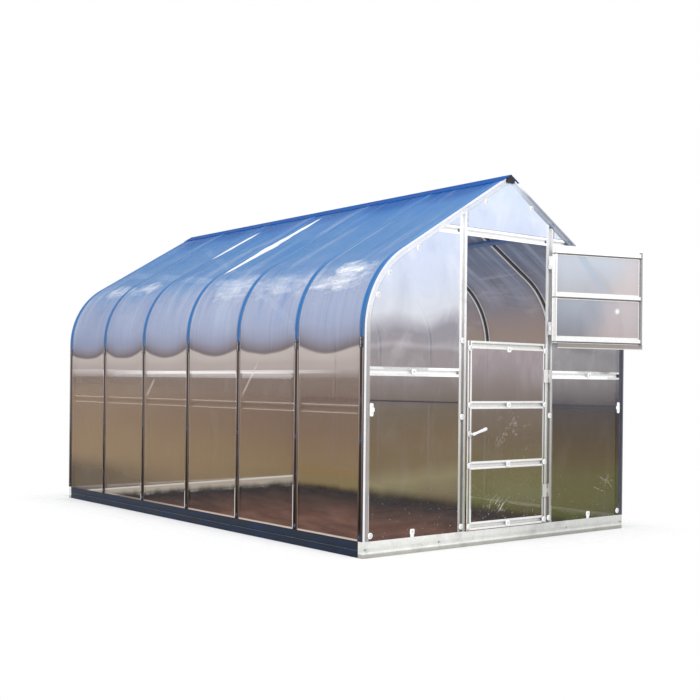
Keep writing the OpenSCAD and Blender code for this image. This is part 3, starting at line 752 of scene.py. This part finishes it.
# straps: painted shade, dark, on the wall; painted sky reflection, blue, on the roof
STRAP_ROWS = [
    (0.1, 30, 22, 20), (0.35, 38, 30, 27), (0.6, 48, 38, 34), (0.78, 58, 48, 44), (0.95, 60, 50, 48),
    (1.2, 60, 51, 50), (1.3, 66, 60, 66), (1.36, 64, 96, 142), (1.5, 52, 110, 168),
    (1.78, 52, 112, 174), (1.9, 74, 128, 186), (2.0, 92, 140, 192), (2.45, 60, 120, 190)]
# painted highlight along the straps' folded edges
LIP_HIGHLIGHT_ROWS = [
    (0.1, 128, 108, 92), (0.6, 150, 134, 118), (1.28, 176, 164, 158), (1.36, 120, 144, 184),
    (2.0, 126, 162, 210)]
# trim sides: painted shade, turning blue with painted sky reflection higher up
TRIM_ROWS = [
    (0.1, 30, 32, 40), (0.6, 60, 52, 50), (1.2, 78, 74, 78), (1.4, 70, 96, 136), (1.9, 52, 108, 176),
    (2.45, 40, 98, 178)]
# right-hand trim: deeper painted shade
SHADED_TRIM_ROWS = [
    (0.1, 62, 62, 66), (0.8, 46, 46, 58), (1.5, 66, 66, 80), (1.95, 118, 126, 142),
    (2.45, 132, 140, 156)]


def make_galvanised(name, clean, webs=None, web_share=0.0, dirt=0.25, right=1.0, rails=None):
    """Galvanised steel. clean and webs are ramp rows for the flats and for the
    section's sloping webs, which carry painted shade; right is a painted shade
    that dims towards +X; rails is (half width, colour) for what lies between a leaf's stiles."""
    net, place, (x, _, z) = new_surface(name)
    flat = net.by_height(z, clean)
    if rails:
        half, tone = rails
        flat = net.mix(abs(x).fall(half - 0.003, half), flat, tone)
    dim = x.spread(-0.45, 0.45, 1.0, right)
    flat = net.mix(1.0, flat, net.join(dim, dim, dim), "MULTIPLY")
    zinc = galvanise(net, place, flat, (120, 118, 114), dirt)
    colour = zinc["Colour"]
    if webs:
        web = use_group(net, FOLD, Facing=net.coordinate("Normal"))["Web"]
        colour = net.mix(web * web_share, colour, net.by_height(z, webs))
    return net.finish_zinc(zinc, colour, specular=0.25, metallic=0.1)


def make_rib_material():
    """Bent arch section: pale flats, painted shade along both sides of its crown."""
    net, place, (_, y, z) = new_surface("rib zinc")
    zinc = galvanise(net, place, net.by_height(z, RIB_ROWS), (120, 116, 112))
    off = abs((y / BAY + 0.5).fraction() - 0.5) * BAY
    dark = abs(off - 0.0145).fall(0.0045, 0.006) * z.spread(1.1, 1.35, 0.25, 0.92)
    colour = net.mix(dark, zinc["Colour"], (30, 30, 38))
    return net.finish_zinc(zinc, colour, specular=0.25, metallic=0.1)


def make_end_arch_material():
    """End arches: pale towards the light, slate down the shaded right side."""
    net, place, (x, y, z) = new_surface("end arch zinc")
    inset = use_group(net, INSET, Along=x, Height=z)["Inset"]
    # painted shade lines at the section's folds, and a painted highlight line inside them
    stripe = larger(inset.near(0.006, 0.004), inset.near(0.04, 0.004))
    dark = net.layers(net.by_height(z, ARCH_DARK), (stripe * 0.6, (48, 50, 66)),
                      (inset.near(0.05, 0.003) * 0.6, (170, 172, 176)))
    # painted shade on faces turned towards -X
    turned = net.split(net.coordinate("Normal"))[0].spread(-0.4, -0.8, 0.0, 0.45)
    lit = net.mix(turned, net.by_height(z, ARCH_LIT), (96, 86, 80))
    clean = net.mix(x.rise(0.05, 0.15) * y.fall(1.0, 1.2), lit, dark)
    zinc = galvanise(net, place, clean, (110, 106, 104))
    return net.finish_zinc(zinc, zinc["Colour"], specular=0.2, metallic=0.1)


def make_upper_leaf_material():
    """Open upper leaf: white flats with painted shade lines along the edges of its sections."""
    net, place, (_, _, z) = new_surface("upper leaf zinc")
    zinc = galvanise(net, place, net.by_height(z, UPPER_ROWS), (150, 148, 146), 0.08)
    low, high = (corner[2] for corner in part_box("upper_leaf_frame"))
    edges = (low + 0.008, (low + high) / 2 - 0.014, high - 0.042)
    reach = across_leaf(net, place)
    lines = larger(*[z.near(level, 0.0035) for level in edges]) * reach.fall(0.765, 0.77)
    lines = larger(lines, reach.near(0.76, 0.007) * 0.85, reach.near(0.03, 0.002) * 0.5)
    return net.finish_zinc(zinc, net.mix(lines * 0.85, zinc["Colour"], (104, 98, 100)), specular=0.25)


def make_upper_sheet():
    """Upper leaf's sheet: grey-blue, paler and pinkish to its far side."""
    net, place, (_, _, z) = new_surface("upper leaf sheet")
    reach = across_leaf(net, place)
    sway = net.noise(net.stretch(place, (2.0, 2.0, 1.2)), 2.0, 3.0).spread(0.3, 0.7, -0.05, 0.05)
    pink = (reach + sway - z * 0.45).spread(-0.42, -0.12, 0.0, 0.5, smooth=True)
    cool = (reach + z * 0.8).near(1.83, 0.035) * z.spread(1.72, 1.8, 0.0, 0.3)
    spot = net.distance(reach - 0.565, z - 1.592).spread(0.004, 0.028, 0.9, 0.0, smooth=True)
    low, high = (corner[2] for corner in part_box("upper_leaf_frame"))
    margin = larger(reach.rise(0.785, 0.79), z.rise(high, high + 0.003))
    skirt = z.fall(low - 0.002, low + 0.002) * reach.fall(0.775, 0.785)
    hem = z.near(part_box("upper_leaf_panel")[0][2] + 0.002, 0.003)
    flutes = use_group(net, FLUTES, Across=reach, Pitch=FLUTE)
    colour = net.layers(
        net.by_height(z + sway, LEAF_ROWS), (pink, (206, 186, 180)), (cool, (150, 172, 196)),
        (spot, (244, 248, 252)), (margin, (246, 246, 248)), (skirt, (146, 140, 134)),
        (hem * 0.8, (226, 222, 218)), (flutes["Line"] * 0.06, (228, 232, 240)))
    return net.finish(colour, 0.3, (flutes["Height"], 0.1, 0.002), specular=0.15,
                      alpha=see_through(net, margin.between(0.96, 0.85)))


def make_strap_material():
    """Straps and trims with painted light: blue sky reflection on the roof, dark shade on the wall,
    highlights along the folded edges.
    """
    net, place, (_, y, z) = new_surface("strap steel")
    middle = smaller(larger(round(y / BAY) * BAY, 0.03), HOUSE_Y1 - 0.03)
    lip_highlight = abs(y - middle).rise(0.0105, 0.0125) * z.spread(1.3, 1.42, 1.0, 0.35)
    wear = net.noise(net.stretch(place, (8.0, 8.0, 2.0)), 3.0, 4.0)
    colour = net.layers(
        net.by_height(z, STRAP_ROWS),
        (lip_highlight * z.spread(0.2, 1.0, 0.25, 0.75), net.by_height(z, LIP_HIGHLIGHT_ROWS)),
        (wear.spread(0.55, 0.75, 0.0, 0.25), (140, 140, 150)))
    return net.finish(colour, wear.spread(0.3, 0.7, 0.3, 0.5), (wear, 0.1, 0.001), specular=0.01)


def make_trim_material():
    """Corner trim: pale to the front; painted shade on the long sides, turning blue with painted sky
    reflection higher up, and deeper painted shade over the right-hand trim.
    """
    net, place, (x, _, z) = new_surface("trim steel")
    front = abs(net.split(net.coordinate("Normal"))[1]).rise(0.5, 0.8)
    zinc = galvanise(net, place, (232, 232, 236), (150, 148, 148), 0.3)
    # mask of the painted shade over the right-hand trim, front faces too
    grey = x.rise(0.1, 0.2)
    slate = net.by_height(z, SHADED_TRIM_ROWS)
    side = net.mix(grey, net.by_height(z, TRIM_ROWS), slate)
    return net.finish_zinc(zinc, net.mix(front, side, net.mix(grey * 0.92, zinc["Colour"], slate)))


def make_purlin_material(name, body, edge, far, node):
    """Lengthwise member: its body colour, the edge colour along its two flange edges, and far on the
    right-hand side. The edges are a painted highlight on the wall purlins and painted shade on the roof
    purlins; far is painted shade.
    """
    net, place, (x, _, z) = new_surface(name)
    low, high = (corner[2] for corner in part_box(node))
    rim = ((high - low) / 2 - abs(z - (low + high) / 2)).fall(0.005, 0.008)
    zinc = galvanise(net, place, body, (90, 86, 84), 0.2)
    colour = net.layers(zinc["Colour"], (rim, edge), (x.spread(0.0, 0.1, 0.0, 0.8), far))
    return net.finish_zinc(zinc, colour, strength=0.1)


def cloudy_painted_light(net, place, colour, light):
    """Painted light whose tone varies in long clouds, and the clouds themselves."""
    cloud = net.noise(net.stretch(place, (4.0, 1.0, 4.0)), 4.0, 4.0, 0.6)
    return net.mix(cloud.spread(0.45, 0.75, 0.0, 0.6), colour, light), cloud


def make_painted_light_steel(name, colour, light, spec=0.4):
    """Steel of the ridge cap, the bolts and the buckles, coloured with painted light: sky reflection on
    the ridge cap, shade on the bolts and buckles.
    """
    net, place, _ = new_surface(name)
    painted_light, cloud = cloudy_painted_light(net, place, colour, light)
    return net.finish(painted_light, cloud.spread(0.3, 0.7, 0.3, 0.5), (cloud, 0.08, 0.001), specular=spec)


def make_base_material():
    """Zinc profile: painted shade with a dark blue sky cast on its outer faces, bare zinc on its inner
    faces.
    """
    net, place, _ = new_surface("base profile painted shade")
    painted_light, cloud = cloudy_painted_light(net, place, (10, 24, 44), (26, 50, 84))
    zinc = galvanise(net, place, (206, 198, 184), (132, 122, 106), 0.35)
    colour = net.mix(facing_parts(net, place, 1.0, 0.0), zinc["Colour"], painted_light)
    return net.finish(colour, cloud.spread(0.3, 0.7, 0.4, 0.6), (cloud, 0.08, 0.001), specular=0.2)


def make_plastic(name, colour, dusty, rough=0.38):
    """Moulded or plain small parts with a little dust and a fine grain."""
    net, place, _ = new_surface(name)
    cloud = net.noise(place, 30.0, 3.0)
    colour = net.mix(cloud.spread(0.5, 0.75, 0.0, 0.4), colour, dusty)
    return net.finish(colour, cloud.spread(0.3, 0.7, rough, rough + 0.15),
                      (net.noise(place, 220.0, 2.0), 0.1, 0.0004))


def dress(material, *names):
    """Gives CAD nodes their material."""
    for name in names:
        mesh = nodes[name].data
        mesh.materials.clear()
        mesh.materials.append(material)


COVER = make_cover_material()
WALL_MEMBERS = loose_parts("front_posts") + loose_parts("front_rails") + loose_parts("front_lintel")
END_LEFT = make_end_material("left end sheet", LEFT_ROWS, END_ALPHA, WALL_MEMBERS, lift=0.09)
END_RIGHT = make_end_material("right end sheet", RIGHT_ROWS, END_ALPHA, WALL_MEMBERS, marks=twig_marks)
END_BACK = make_end_material("back end sheet", LEFT_ROWS, END_ALPHA, loose_parts("back_rails"))
DOOR_SHEET = make_end_material("door sheet", DOOR_ROWS, DOOR_ALPHA,
                               leaf_members(*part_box("door_frame"), 4), arch=False, marks=film_marks)
LEAF_SHEET = make_upper_sheet()
ZINC_POST = make_galvanised("post zinc", POST_ROWS, POST_WEBS, 0.75, right=0.80)
ZINC = make_galvanised("rail zinc", [(0.0, 255, 254, 252)], [(0.0, 206, 206, 206)], 0.6, dirt=0.08)
ZINC_DOOR = make_galvanised("leaf zinc", STILE_ROWS, [(0.0, 150, 147, 140), (1.3, 172, 170, 168)], 0.65,
                            dirt=0.15, right=0.84, rails=(0.346, (240, 239, 236)))
ZINC_RIB = make_rib_material()
ZINC_END = make_end_arch_material()
ZINC_LEAF = make_upper_leaf_material()
ZINC_SILL = make_galvanised("sill zinc", SILL_ROWS, dirt=0.22, right=0.78)
TRIM = make_trim_material()
STRAP = make_strap_material()
BASE_SHADE = make_base_material()
# painted sky reflection on the ridge cap, painted shade on the bolts
RIDGE_SKY_REFLECTION = make_painted_light_steel("ridge cap sky reflection", (8, 78, 156), (34, 106, 186), spec=0.01)
BOLT_SHADE = make_painted_light_steel("bolt painted shade", (40, 52, 84), (84, 100, 132))
# wall purlins: painted highlight on the flange edges, painted shade on the right; roof purlins: painted
# shade with a sky-blue cast
WALL_PURLIN = make_purlin_material(
    "wall purlin zinc", (150, 138, 128), (255, 250, 246), (84, 84, 98), "wall_purlins")
ROOF_PURLIN = make_purlin_material(
    "roof purlin zinc", (84, 108, 150), (44, 56, 86), (76, 98, 140), "roof_purlins")
HANDLE_WHITE = make_plastic("handle plastic", (232, 232, 234), (200, 200, 200))
PAD_WHITE = make_plastic("pad plastic", (248, 248, 248), (228, 228, 224))
PLUG_BLACK = make_plastic("plug rubber", (22, 23, 30), (60, 62, 70), 0.6)
PAD_GROOVE = make_plastic("pad groove shade", (168, 168, 170), (186, 186, 186), 0.6)
PAD_GREY = make_plastic("tab plastic", (238, 238, 238), (214, 214, 212), 0.45)
PAD_FINISHES = (PAD_WHITE, PAD_GROOVE, PAD_GREY)
SCREW_ZINC = make_plastic("screw finish", (150, 152, 156), (96, 98, 104), 0.32)
# painted shade on the strap buckles
BUCKLE_SHADE = make_painted_light_steel("buckle painted shade", (58, 48, 46), (120, 112, 108), spec=0.3)

dress(ZINC_RIB, *[f"arch_{k}" for k in range(2, 7)])
dress(ZINC_END, "arch_1", "arch_7", "ridge_beam")
dress(ZINC, "front_lintel", "front_rails", "back_rails")
dress(ZINC_POST, "front_posts", "post_hinges")
dress(ZINC_DOOR, "door_frame", "door_hinges")
dress(ZINC_LEAF, "upper_leaf_frame", "upper_leaf_hinges")
dress(WALL_PURLIN, "wall_purlins")
dress(ROOF_PURLIN, "roof_purlins")
dress(ZINC_SILL, "base_front", "base_back")
dress(TRIM, "end_trims")
dress(BASE_SHADE, "base_left", "base_right")
dress(STRAP, "straps_left", "straps_right")
dress(BOLT_SHADE, "strap_bolts", "strap_joiners")
dress(RIDGE_SKY_REFLECTION, "ridge_cap_front", "ridge_cap_rear")
dress(PLUG_BLACK, "ridge_plugs")
dress(HANDLE_WHITE, "door_handle")
dress(PAD_WHITE, "front_pads", "door_pads")
dress(END_LEFT, "front_panel_left", "front_panel_gable")
dress(END_BACK, "back_panel_lower", "back_panel_upper")
dress(END_RIGHT, "front_panel_right")
dress(DOOR_SHEET, "door_panel")
dress(LEAF_SHEET, "upper_leaf_panel")
dress(COVER, "cover_left_front", "cover_left_rear", "cover_right_front", "cover_right_rear")


# ---------------------------------------------------------------- fittings

X_AXIS, Y_AXIS, Z_AXIS = Vector((1, 0, 0)), Vector((0, 1, 0)), Vector((0, 0, 1))
LEVER_TILT = 16.0           # degrees over level
# rows of a turned form: (share of the outline, height over its seat, and which
# of the piece's finishes it has, if not the first)
DOME_ROWS = [
    (1.00, 0.0), (1.00, 0.0012), (0.93, 0.0027), (0.80, 0.0038), (0.66, 0.0044), (0.60, 0.0040, 1),
    (0.57, 0.0031, 1), (0.50, 0.0031, 1), (0.46, 0.0046, 2), (0.34, 0.0058, 2), (0.19, 0.0062, 2),
    (0.17, 0.0052, 1), (0.04, 0.0052, 1)]
TAB_ROWS = [
    (1.00, 0.0), (1.00, 0.0038), (0.96, 0.0049), (0.88, 0.0053), (0.50, 0.0053), (0.47, 0.0044, 1),
    (0.41, 0.0044, 1), (0.38, 0.0056, 2), (0.22, 0.0062, 2), (0.20, 0.0052, 1), (0.04, 0.0052, 1)]
SCREW_ROWS = [
    (1.00, 0.0), (1.00, 0.0008), (0.86, 0.0018), (0.55, 0.0025), (0.40, 0.0026), (0.36, 0.0016, 1),
    (0.05, 0.0016, 1)]


def circle(radius, count=28):
    """Outline of a round form."""
    turns = [math.tau * k / count for k in range(count)]
    return [(radius * math.cos(turn), radius * math.sin(turn)) for turn in turns]


def soft_square(half_w, half_h, power=5.0, count=36):
    """Rectangle with well rounded corners."""
    points = []
    for k in range(count):
        c, s = math.cos(math.tau * (k + 0.5) / count), math.sin(math.tau * (k + 0.5) / count)
        reach = (abs(c) ** power + abs(s) ** power) ** (-1.0 / power)
        points.append((half_w * c * reach, half_h * s * reach))
    return points


def add_stack(bm, middle, side, rise, outline, rows):
    """Closed solid of scaled copies of an outline; it grows towards side x rise."""
    out = side.cross(rise)
    rows = [(*row, 0)[:3] for row in rows]
    levels = [[bm.verts.new(middle + side * (u * scale) + rise * (v * scale) + out * height)
               for u, v in outline] for scale, height, _ in rows]
    bm.faces.new(levels[0][::-1])
    for low, high, (_, _, finish) in zip(levels, levels[1:], rows[1:]):
        for k in range(len(outline)):
            corners = low[k - 1], low[k], high[k], high[k - 1]
            bm.faces.new(corners).material_index = finish
    bm.faces.new(levels[-1]).material_index = rows[-1][2]


def slab(*shares_and_heights):
    """Rows of a plain raised form: full outline at the seat, then as given."""
    return [(1.0, 0.0), *shares_and_heights]


def lay_piece(name, bm, materials, body, slot, *stands_for):
    """Turns finished mesh work into a piece of the part."""
    mesh = bpy.data.meshes.new(name)
    bmesh.ops.recalc_face_normals(bm, faces=bm.faces)
    bm.to_mesh(mesh)
    bm.free()
    for material in materials:
        mesh.materials.append(material)
    piece = bpy.data.objects.new(name, mesh)
    scene.collection.objects.link(piece)
    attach(piece, body)
    if stands_for:
        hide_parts(*stands_for)
    return piece


def build_wall_fixings():
    """Washers, sill tabs and corner brackets that hold the front sheets."""
    bm = bmesh.new()
    corner_x = 0.0
    for low, high in loose_parts("front_pads"):
        seat = Vector(((low.x + high.x) / 2, high.y, (low.z + high.z) / 2))
        if 0.80 < abs(seat.x) < 0.90 and seat.z < 1.20:
            add_stack(bm, seat, X_AXIS, Z_AXIS, soft_square(0.0175, 0.0175), TAB_ROWS)
            if seat.z < 0.5:
                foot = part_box("base_front")[1][2]
                stem = (seat.z - 0.0150 - foot) / 2
                add_stack(bm, Vector((seat.x, seat.y, foot + stem + 0.0002)), X_AXIS, Z_AXIS,
                          soft_square(0.0140, stem, 8.0),
                          [(1.0, 0.0, 2), (1.0, 0.0022, 2), (0.93, 0.0028, 2)])
        elif abs(seat.x) > 1.18 and 0.80 < seat.z < 1.00:
            corner_x = abs(seat.x)
        else:
            add_stack(bm, seat, X_AXIS, Z_AXIS, circle(0.0190), DOME_ROWS)
    for way in (-1, 1):
        seat = Vector((way * corner_x, -0.0003, 0.898))
        add_stack(bm, seat, X_AXIS, Z_AXIS, soft_square(0.0140, 0.0400, 6.0),
                  slab((1.0, 0.0030), (0.95, 0.0042), (0.86, 0.0045)))
        add_stack(bm, seat - X_AXIS * (way * 0.0150), X_AXIS, Z_AXIS, soft_square(0.0080, 0.0120),
                  slab((1.0, 0.0030), (0.85, 0.0042)))
        for rise in (-0.0190, 0.0190):
            add_stack(bm, seat + Z_AXIS * rise - Y_AXIS * 0.0040, X_AXIS, Z_AXIS, circle(0.0085, 20),
                      slab((0.95, 0.0012), (0.70, 0.0022), (0.45, 0.0025),
                           (0.40, 0.0016, 1), (0.05, 0.0016, 1)))
    lay_piece("wall_fixings", bm, PAD_FINISHES, "house", "pad_plastic", "front_pads")


def build_leaf_fixings():
    """Round washers on the leaf's stiles and square ones at mid rail."""
    bm = bmesh.new()
    for low, high in loose_parts("door_pads"):
        seat = Vector(((low.x + high.x) / 2, high.y, (low.z + high.z) / 2))
        if abs(seat.x) < 0.1:
            add_stack(bm, seat, X_AXIS, Z_AXIS, soft_square(0.0180, 0.0180, 4.0), TAB_ROWS)
        else:
            add_stack(bm, seat, X_AXIS, Z_AXIS, circle(0.0188), DOME_ROWS)
    lay_piece("leaf_fixings", bm, PAD_FINISHES, "door", "pad_plastic", "door_pads")


def side_seats(name):
    """(middle of the seat, way out, height) of each fitting on the long sides."""
    for low, high in loose_parts(name):
        way = 1 if low.x > 0 else -1
        seat = Vector((low.x if way > 0 else high.x, (low.y + high.y) / 2, (low.z + high.z) / 2))
        yield seat, way, high.x - low.x


def build_strap_bolts():
    """Washer and hexagon head on every strap, twice up each wall."""
    bm = bmesh.new()
    for seat, way, height in side_seats("strap_bolts"):
        side = Y_AXIS * way
        add_stack(bm, seat, side, Z_AXIS, circle(0.0120, 24), slab((1.0, 0.0011), (0.93, 0.0016)))
        add_stack(bm, seat + X_AXIS * (way * 0.0014), side, Z_AXIS, circle(0.0085, 6),
                  slab((1.0, height - 0.0026), (0.84, height - 0.0014)))
    lay_piece("strap_bolt_heads", bm, [BOLT_SHADE], "house", "bolt_steel", "strap_bolts")


def build_strap_buckles():
    """Folded buckles with a tightening bolt, where roof strap meets wall strap."""
    bm = bmesh.new()
    for seat, way, height in side_seats("strap_joiners"):
        side = Y_AXIS * way
        add_stack(bm, seat, side, Z_AXIS, soft_square(0.0185, 0.0350, 9.0),
                  slab((1.0, 0.0012), (0.97, 0.0016)))
        for rise in (-0.0180, 0.0180):
            add_stack(bm, seat + Z_AXIS * rise, side, Z_AXIS, soft_square(0.0160, 0.0016, 9.0, 24),
                      [(1.0, 0.001), (1.0, height - 0.0045), (0.90, height - 0.0025),
                       (0.70, height - 0.0015)])
        axle = seat + X_AXIS * (way * 0.0056)
        for start, outline, reach in ((-0.0300, circle(0.0030, 12), 0.0600),
                                      (-0.0262, circle(0.0058, 6), 0.0060),
                                      (0.0200, circle(0.0058, 6), 0.0055)):
            add_stack(bm, axle + Z_AXIS * start, X_AXIS, Y_AXIS, outline,
                      [(0.90, 0.0, 1), (1.0, 0.0006, 1), (1.0, reach - 0.0006, 1), (0.90, reach, 1)])
    lay_piece("strap_buckles", bm, [BUCKLE_SHADE, SCREW_ZINC], "house", "bolt_steel", "strap_joiners")


def build_lever_set():
    """Lever, turned rose and hub outside; disc and upturned catch inside."""
    low, high = (Vector(corner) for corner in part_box("door_handle"))
    stile_x, level = low.x + 0.0187, low.z + 0.0187
    bm = bmesh.new()
    face = Vector((stile_x, -0.0103, level))
    add_stack(bm, face, X_AXIS, Z_AXIS, circle(0.0185, 32),
              slab((1.0, 0.0035), (0.93, 0.0052), (0.70, 0.0060), (0.60, 0.0052, 1), (0.50, 0.0052, 1)))
    add_stack(bm, face, X_AXIS, Z_AXIS, circle(0.0090, 24),
              [(1.0, 0.004), (0.86, 0.010), (0.82, 0.026), (0.95, 0.034), (0.95, 0.043), (0.70, 0.0455)])
    tilt = math.radians(LEVER_TILT)
    rise = Vector((-math.sin(tilt), 0, math.cos(tilt)))
    grip = [(u * 0.0068 / 0.0106, v) for u, v in circle(0.0106, 24)]
    reach = high.x - stile_x - 0.0012
    add_stack(bm, Vector((stile_x, -0.0503, level)), Y_AXIS, rise, grip,
              [(0.45, -0.0100), (0.80, -0.0080), (1.00, -0.0030), (1.02, 0.0080), (0.84, 0.0240),
               (0.82, 0.0420), (0.92, 0.0700), (1.05, 0.0960), (1.08, reach - 0.0120),
               (0.92, reach - 0.0040), (0.55, reach)])
    add_stack(bm, Vector((stile_x, 0.0143, level)), -X_AXIS, Z_AXIS, circle(0.0185, 32),
              slab((1.0, 0.0035), (0.85, 0.0055), (0.45, 0.0060), (0.45, 0.0130), (0.40, 0.0150)))
    half = (high.z - low.z) / 2 - 0.0080
    add_stack(bm, Vector((stile_x, 0.0270, high.z - half - 0.0004)), -X_AXIS, Z_AXIS,
              soft_square(0.0090, half, 6.0),
              [(0.95, 0.0), (1.0, 0.0010), (1.0, 0.0050), (0.93, 0.0068)])
    lay_piece("lever_set", bm, [HANDLE_WHITE, PAD_GROOVE], "door", "handle", "door_handle")


def build_cap_screws():
    """Rows of pan-head screws along both edges of the ridge caps."""
    bm = bmesh.new()
    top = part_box("ridge_cap_front")[1][2]
    edge = 0.058
    for y in (0.20, 0.75, 1.30, 1.85, 2.35, 2.90, 3.45, 4.00):
        for way in (-1, 1):
            side, rise = Y_AXIS * way, Vector((-way * math.cos(PITCH), 0, math.sin(PITCH)))
            seat = Vector((way * edge, y, top - edge * math.tan(PITCH))) - side.cross(rise) * 0.0004
            add_stack(bm, seat, side, rise, circle(0.0065, 16), SCREW_ROWS)
    lay_piece("cap_screws", bm, [RIDGE_SKY_REFLECTION, BOLT_SHADE], "house", "ridge_steel")


def build_sill_screws():
    """Screws through the sill's ends and along its face, front and back."""
    bm = bmesh.new()
    for name, way in (("base_front", -1), ("base_back", 1)):
        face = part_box(name)[way > 0][1]
        for x in (-1.228, -0.62, 0.62, 1.228):
            add_stack(bm, Vector((x, face - way * 0.0004, 0.052)), X_AXIS * -way, Z_AXIS,
                      circle(0.0070, 16), SCREW_ROWS)
    lay_piece("sill_screws", bm, [SCREW_ZINC, PAD_GROOVE], "house", "sill_steel")


build_wall_fixings()
build_leaf_fixings()
build_strap_bolts()
build_strap_buckles()
build_lever_set()
build_cap_screws()
build_sill_screws()


# ---------------------------------------------------------------- camera, floor, light

def set_camera():
    """Eye-level three-quarter view of the left side and the door end."""
    turn, roll = math.radians(38.5762), math.radians(0.60)
    ahead = Vector((math.sin(turn), math.cos(turn), 0))
    right = Vector((math.cos(turn), -math.sin(turn), 0))
    tilted_right = right * math.cos(roll) + Z_AXIS * math.sin(roll)
    tilted_up = Z_AXIS * math.cos(roll) - right * math.sin(roll)
    spot = Matrix((tilted_right, tilted_up, -ahead)).transposed().to_4x4()
    spot.translation = Vector((-5.3709, -5.0162, 1.0498))
    data = bpy.data.cameras.new("eye_level")
    data.sensor_width = 36.0
    data.lens = 55.452343
    data.shift_x = 0.0018
    data.shift_y = 0.04924286
    data.clip_end = 200
    camera = bpy.data.objects.new("eye_level", data)
    scene.collection.objects.link(camera)
    camera.matrix_world = spot
    scene.camera = camera


def make_floor():
    """Pale ground disc that fades into the white surroundings."""
    mesh = bpy.data.meshes.new("ground")
    bm = bmesh.new()
    bmesh.ops.create_circle(bm, cap_ends=True, segments=96, radius=14.0)
    bm.to_mesh(mesh)
    bm.free()
    ground = bpy.data.objects.new("ground", mesh)
    ground.location = (0, HOUSE_Y1 / 2, -0.001)
    scene.collection.objects.link(ground)
    net, place, (x, y, _) = new_surface("pale ground")
    out_x = larger(abs(x) - SIDE_X, 0.0)
    out_y = larger(abs(y) - HOUSE_Y1 / 2, 0.0)
    far = (out_x * out_x + out_y * out_y).root()
    grain = net.noise(place, 3.0, 4.0)
    pale = net.mix(grain.rise(0.3, 0.7), (0.93, 0.93, 0.93, 1), (0.96, 0.96, 0.96, 1))
    fade = far.spread(0.0, 0.6, 0.75, 0.0, smooth=True)
    mesh.materials.append(net.finish(pale, 0.9, specular=0.0, alpha=fade))
    ground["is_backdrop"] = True


def make_world():
    """Plain white surroundings; a soft sky lights the object."""
    world = bpy.data.worlds.new("studio")
    scene.world = world
    world.use_nodes = True
    net = Net(world.node_tree)
    net.tree.nodes.clear()
    path = net.add("ShaderNodeLightPath")
    seen = larger(*[net.out(path, f"Is {kind} Ray") for kind in ("Camera", "Glossy", "Transmission")])
    blend = net.add("ShaderNodeMixShader")
    net.feed(blend.inputs[0], seen)
    for socket, colour, strength in ((1, (0.97, 0.98, 1.0, 1), 0.80), (2, (1, 1, 1, 1), 1.0)):
        light = net.add("ShaderNodeBackground")
        net.feed(light.inputs["Color"], colour)
        net.feed(light.inputs["Strength"], strength)
        net.feed(blend.inputs[socket], net.out(light))
    net.feed(net.add("ShaderNodeOutputWorld").inputs["Surface"], net.out(blend))


def add_lamp(name, place, aim, size, power):
    """Large soft lamp that looks at a point."""
    data = bpy.data.lights.new(name, "AREA")
    data.shape = "RECTANGLE"
    data.size, data.size_y = size
    data.energy = power
    lamp = bpy.data.objects.new(name, data)
    lamp.location = place
    lamp.rotation_euler = (Vector(aim) - Vector(place)).to_track_quat("-Z", "Y").to_euler()
    scene.collection.objects.link(lamp)


set_camera()
make_floor()
make_world()
middle = (0, HOUSE_Y1 / 2, 1.1)
add_lamp("soft_front", (-2.5, -9.0, 6.0), middle, (6, 4), 520)
add_lamp("soft_left", (-9.0, 1.0, 5.0), middle, (6, 4), 300)

scene.view_settings.view_transform = "Standard"

{"cad": [list(c) for c in cad_box], "visual": [list(c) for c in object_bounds()]}
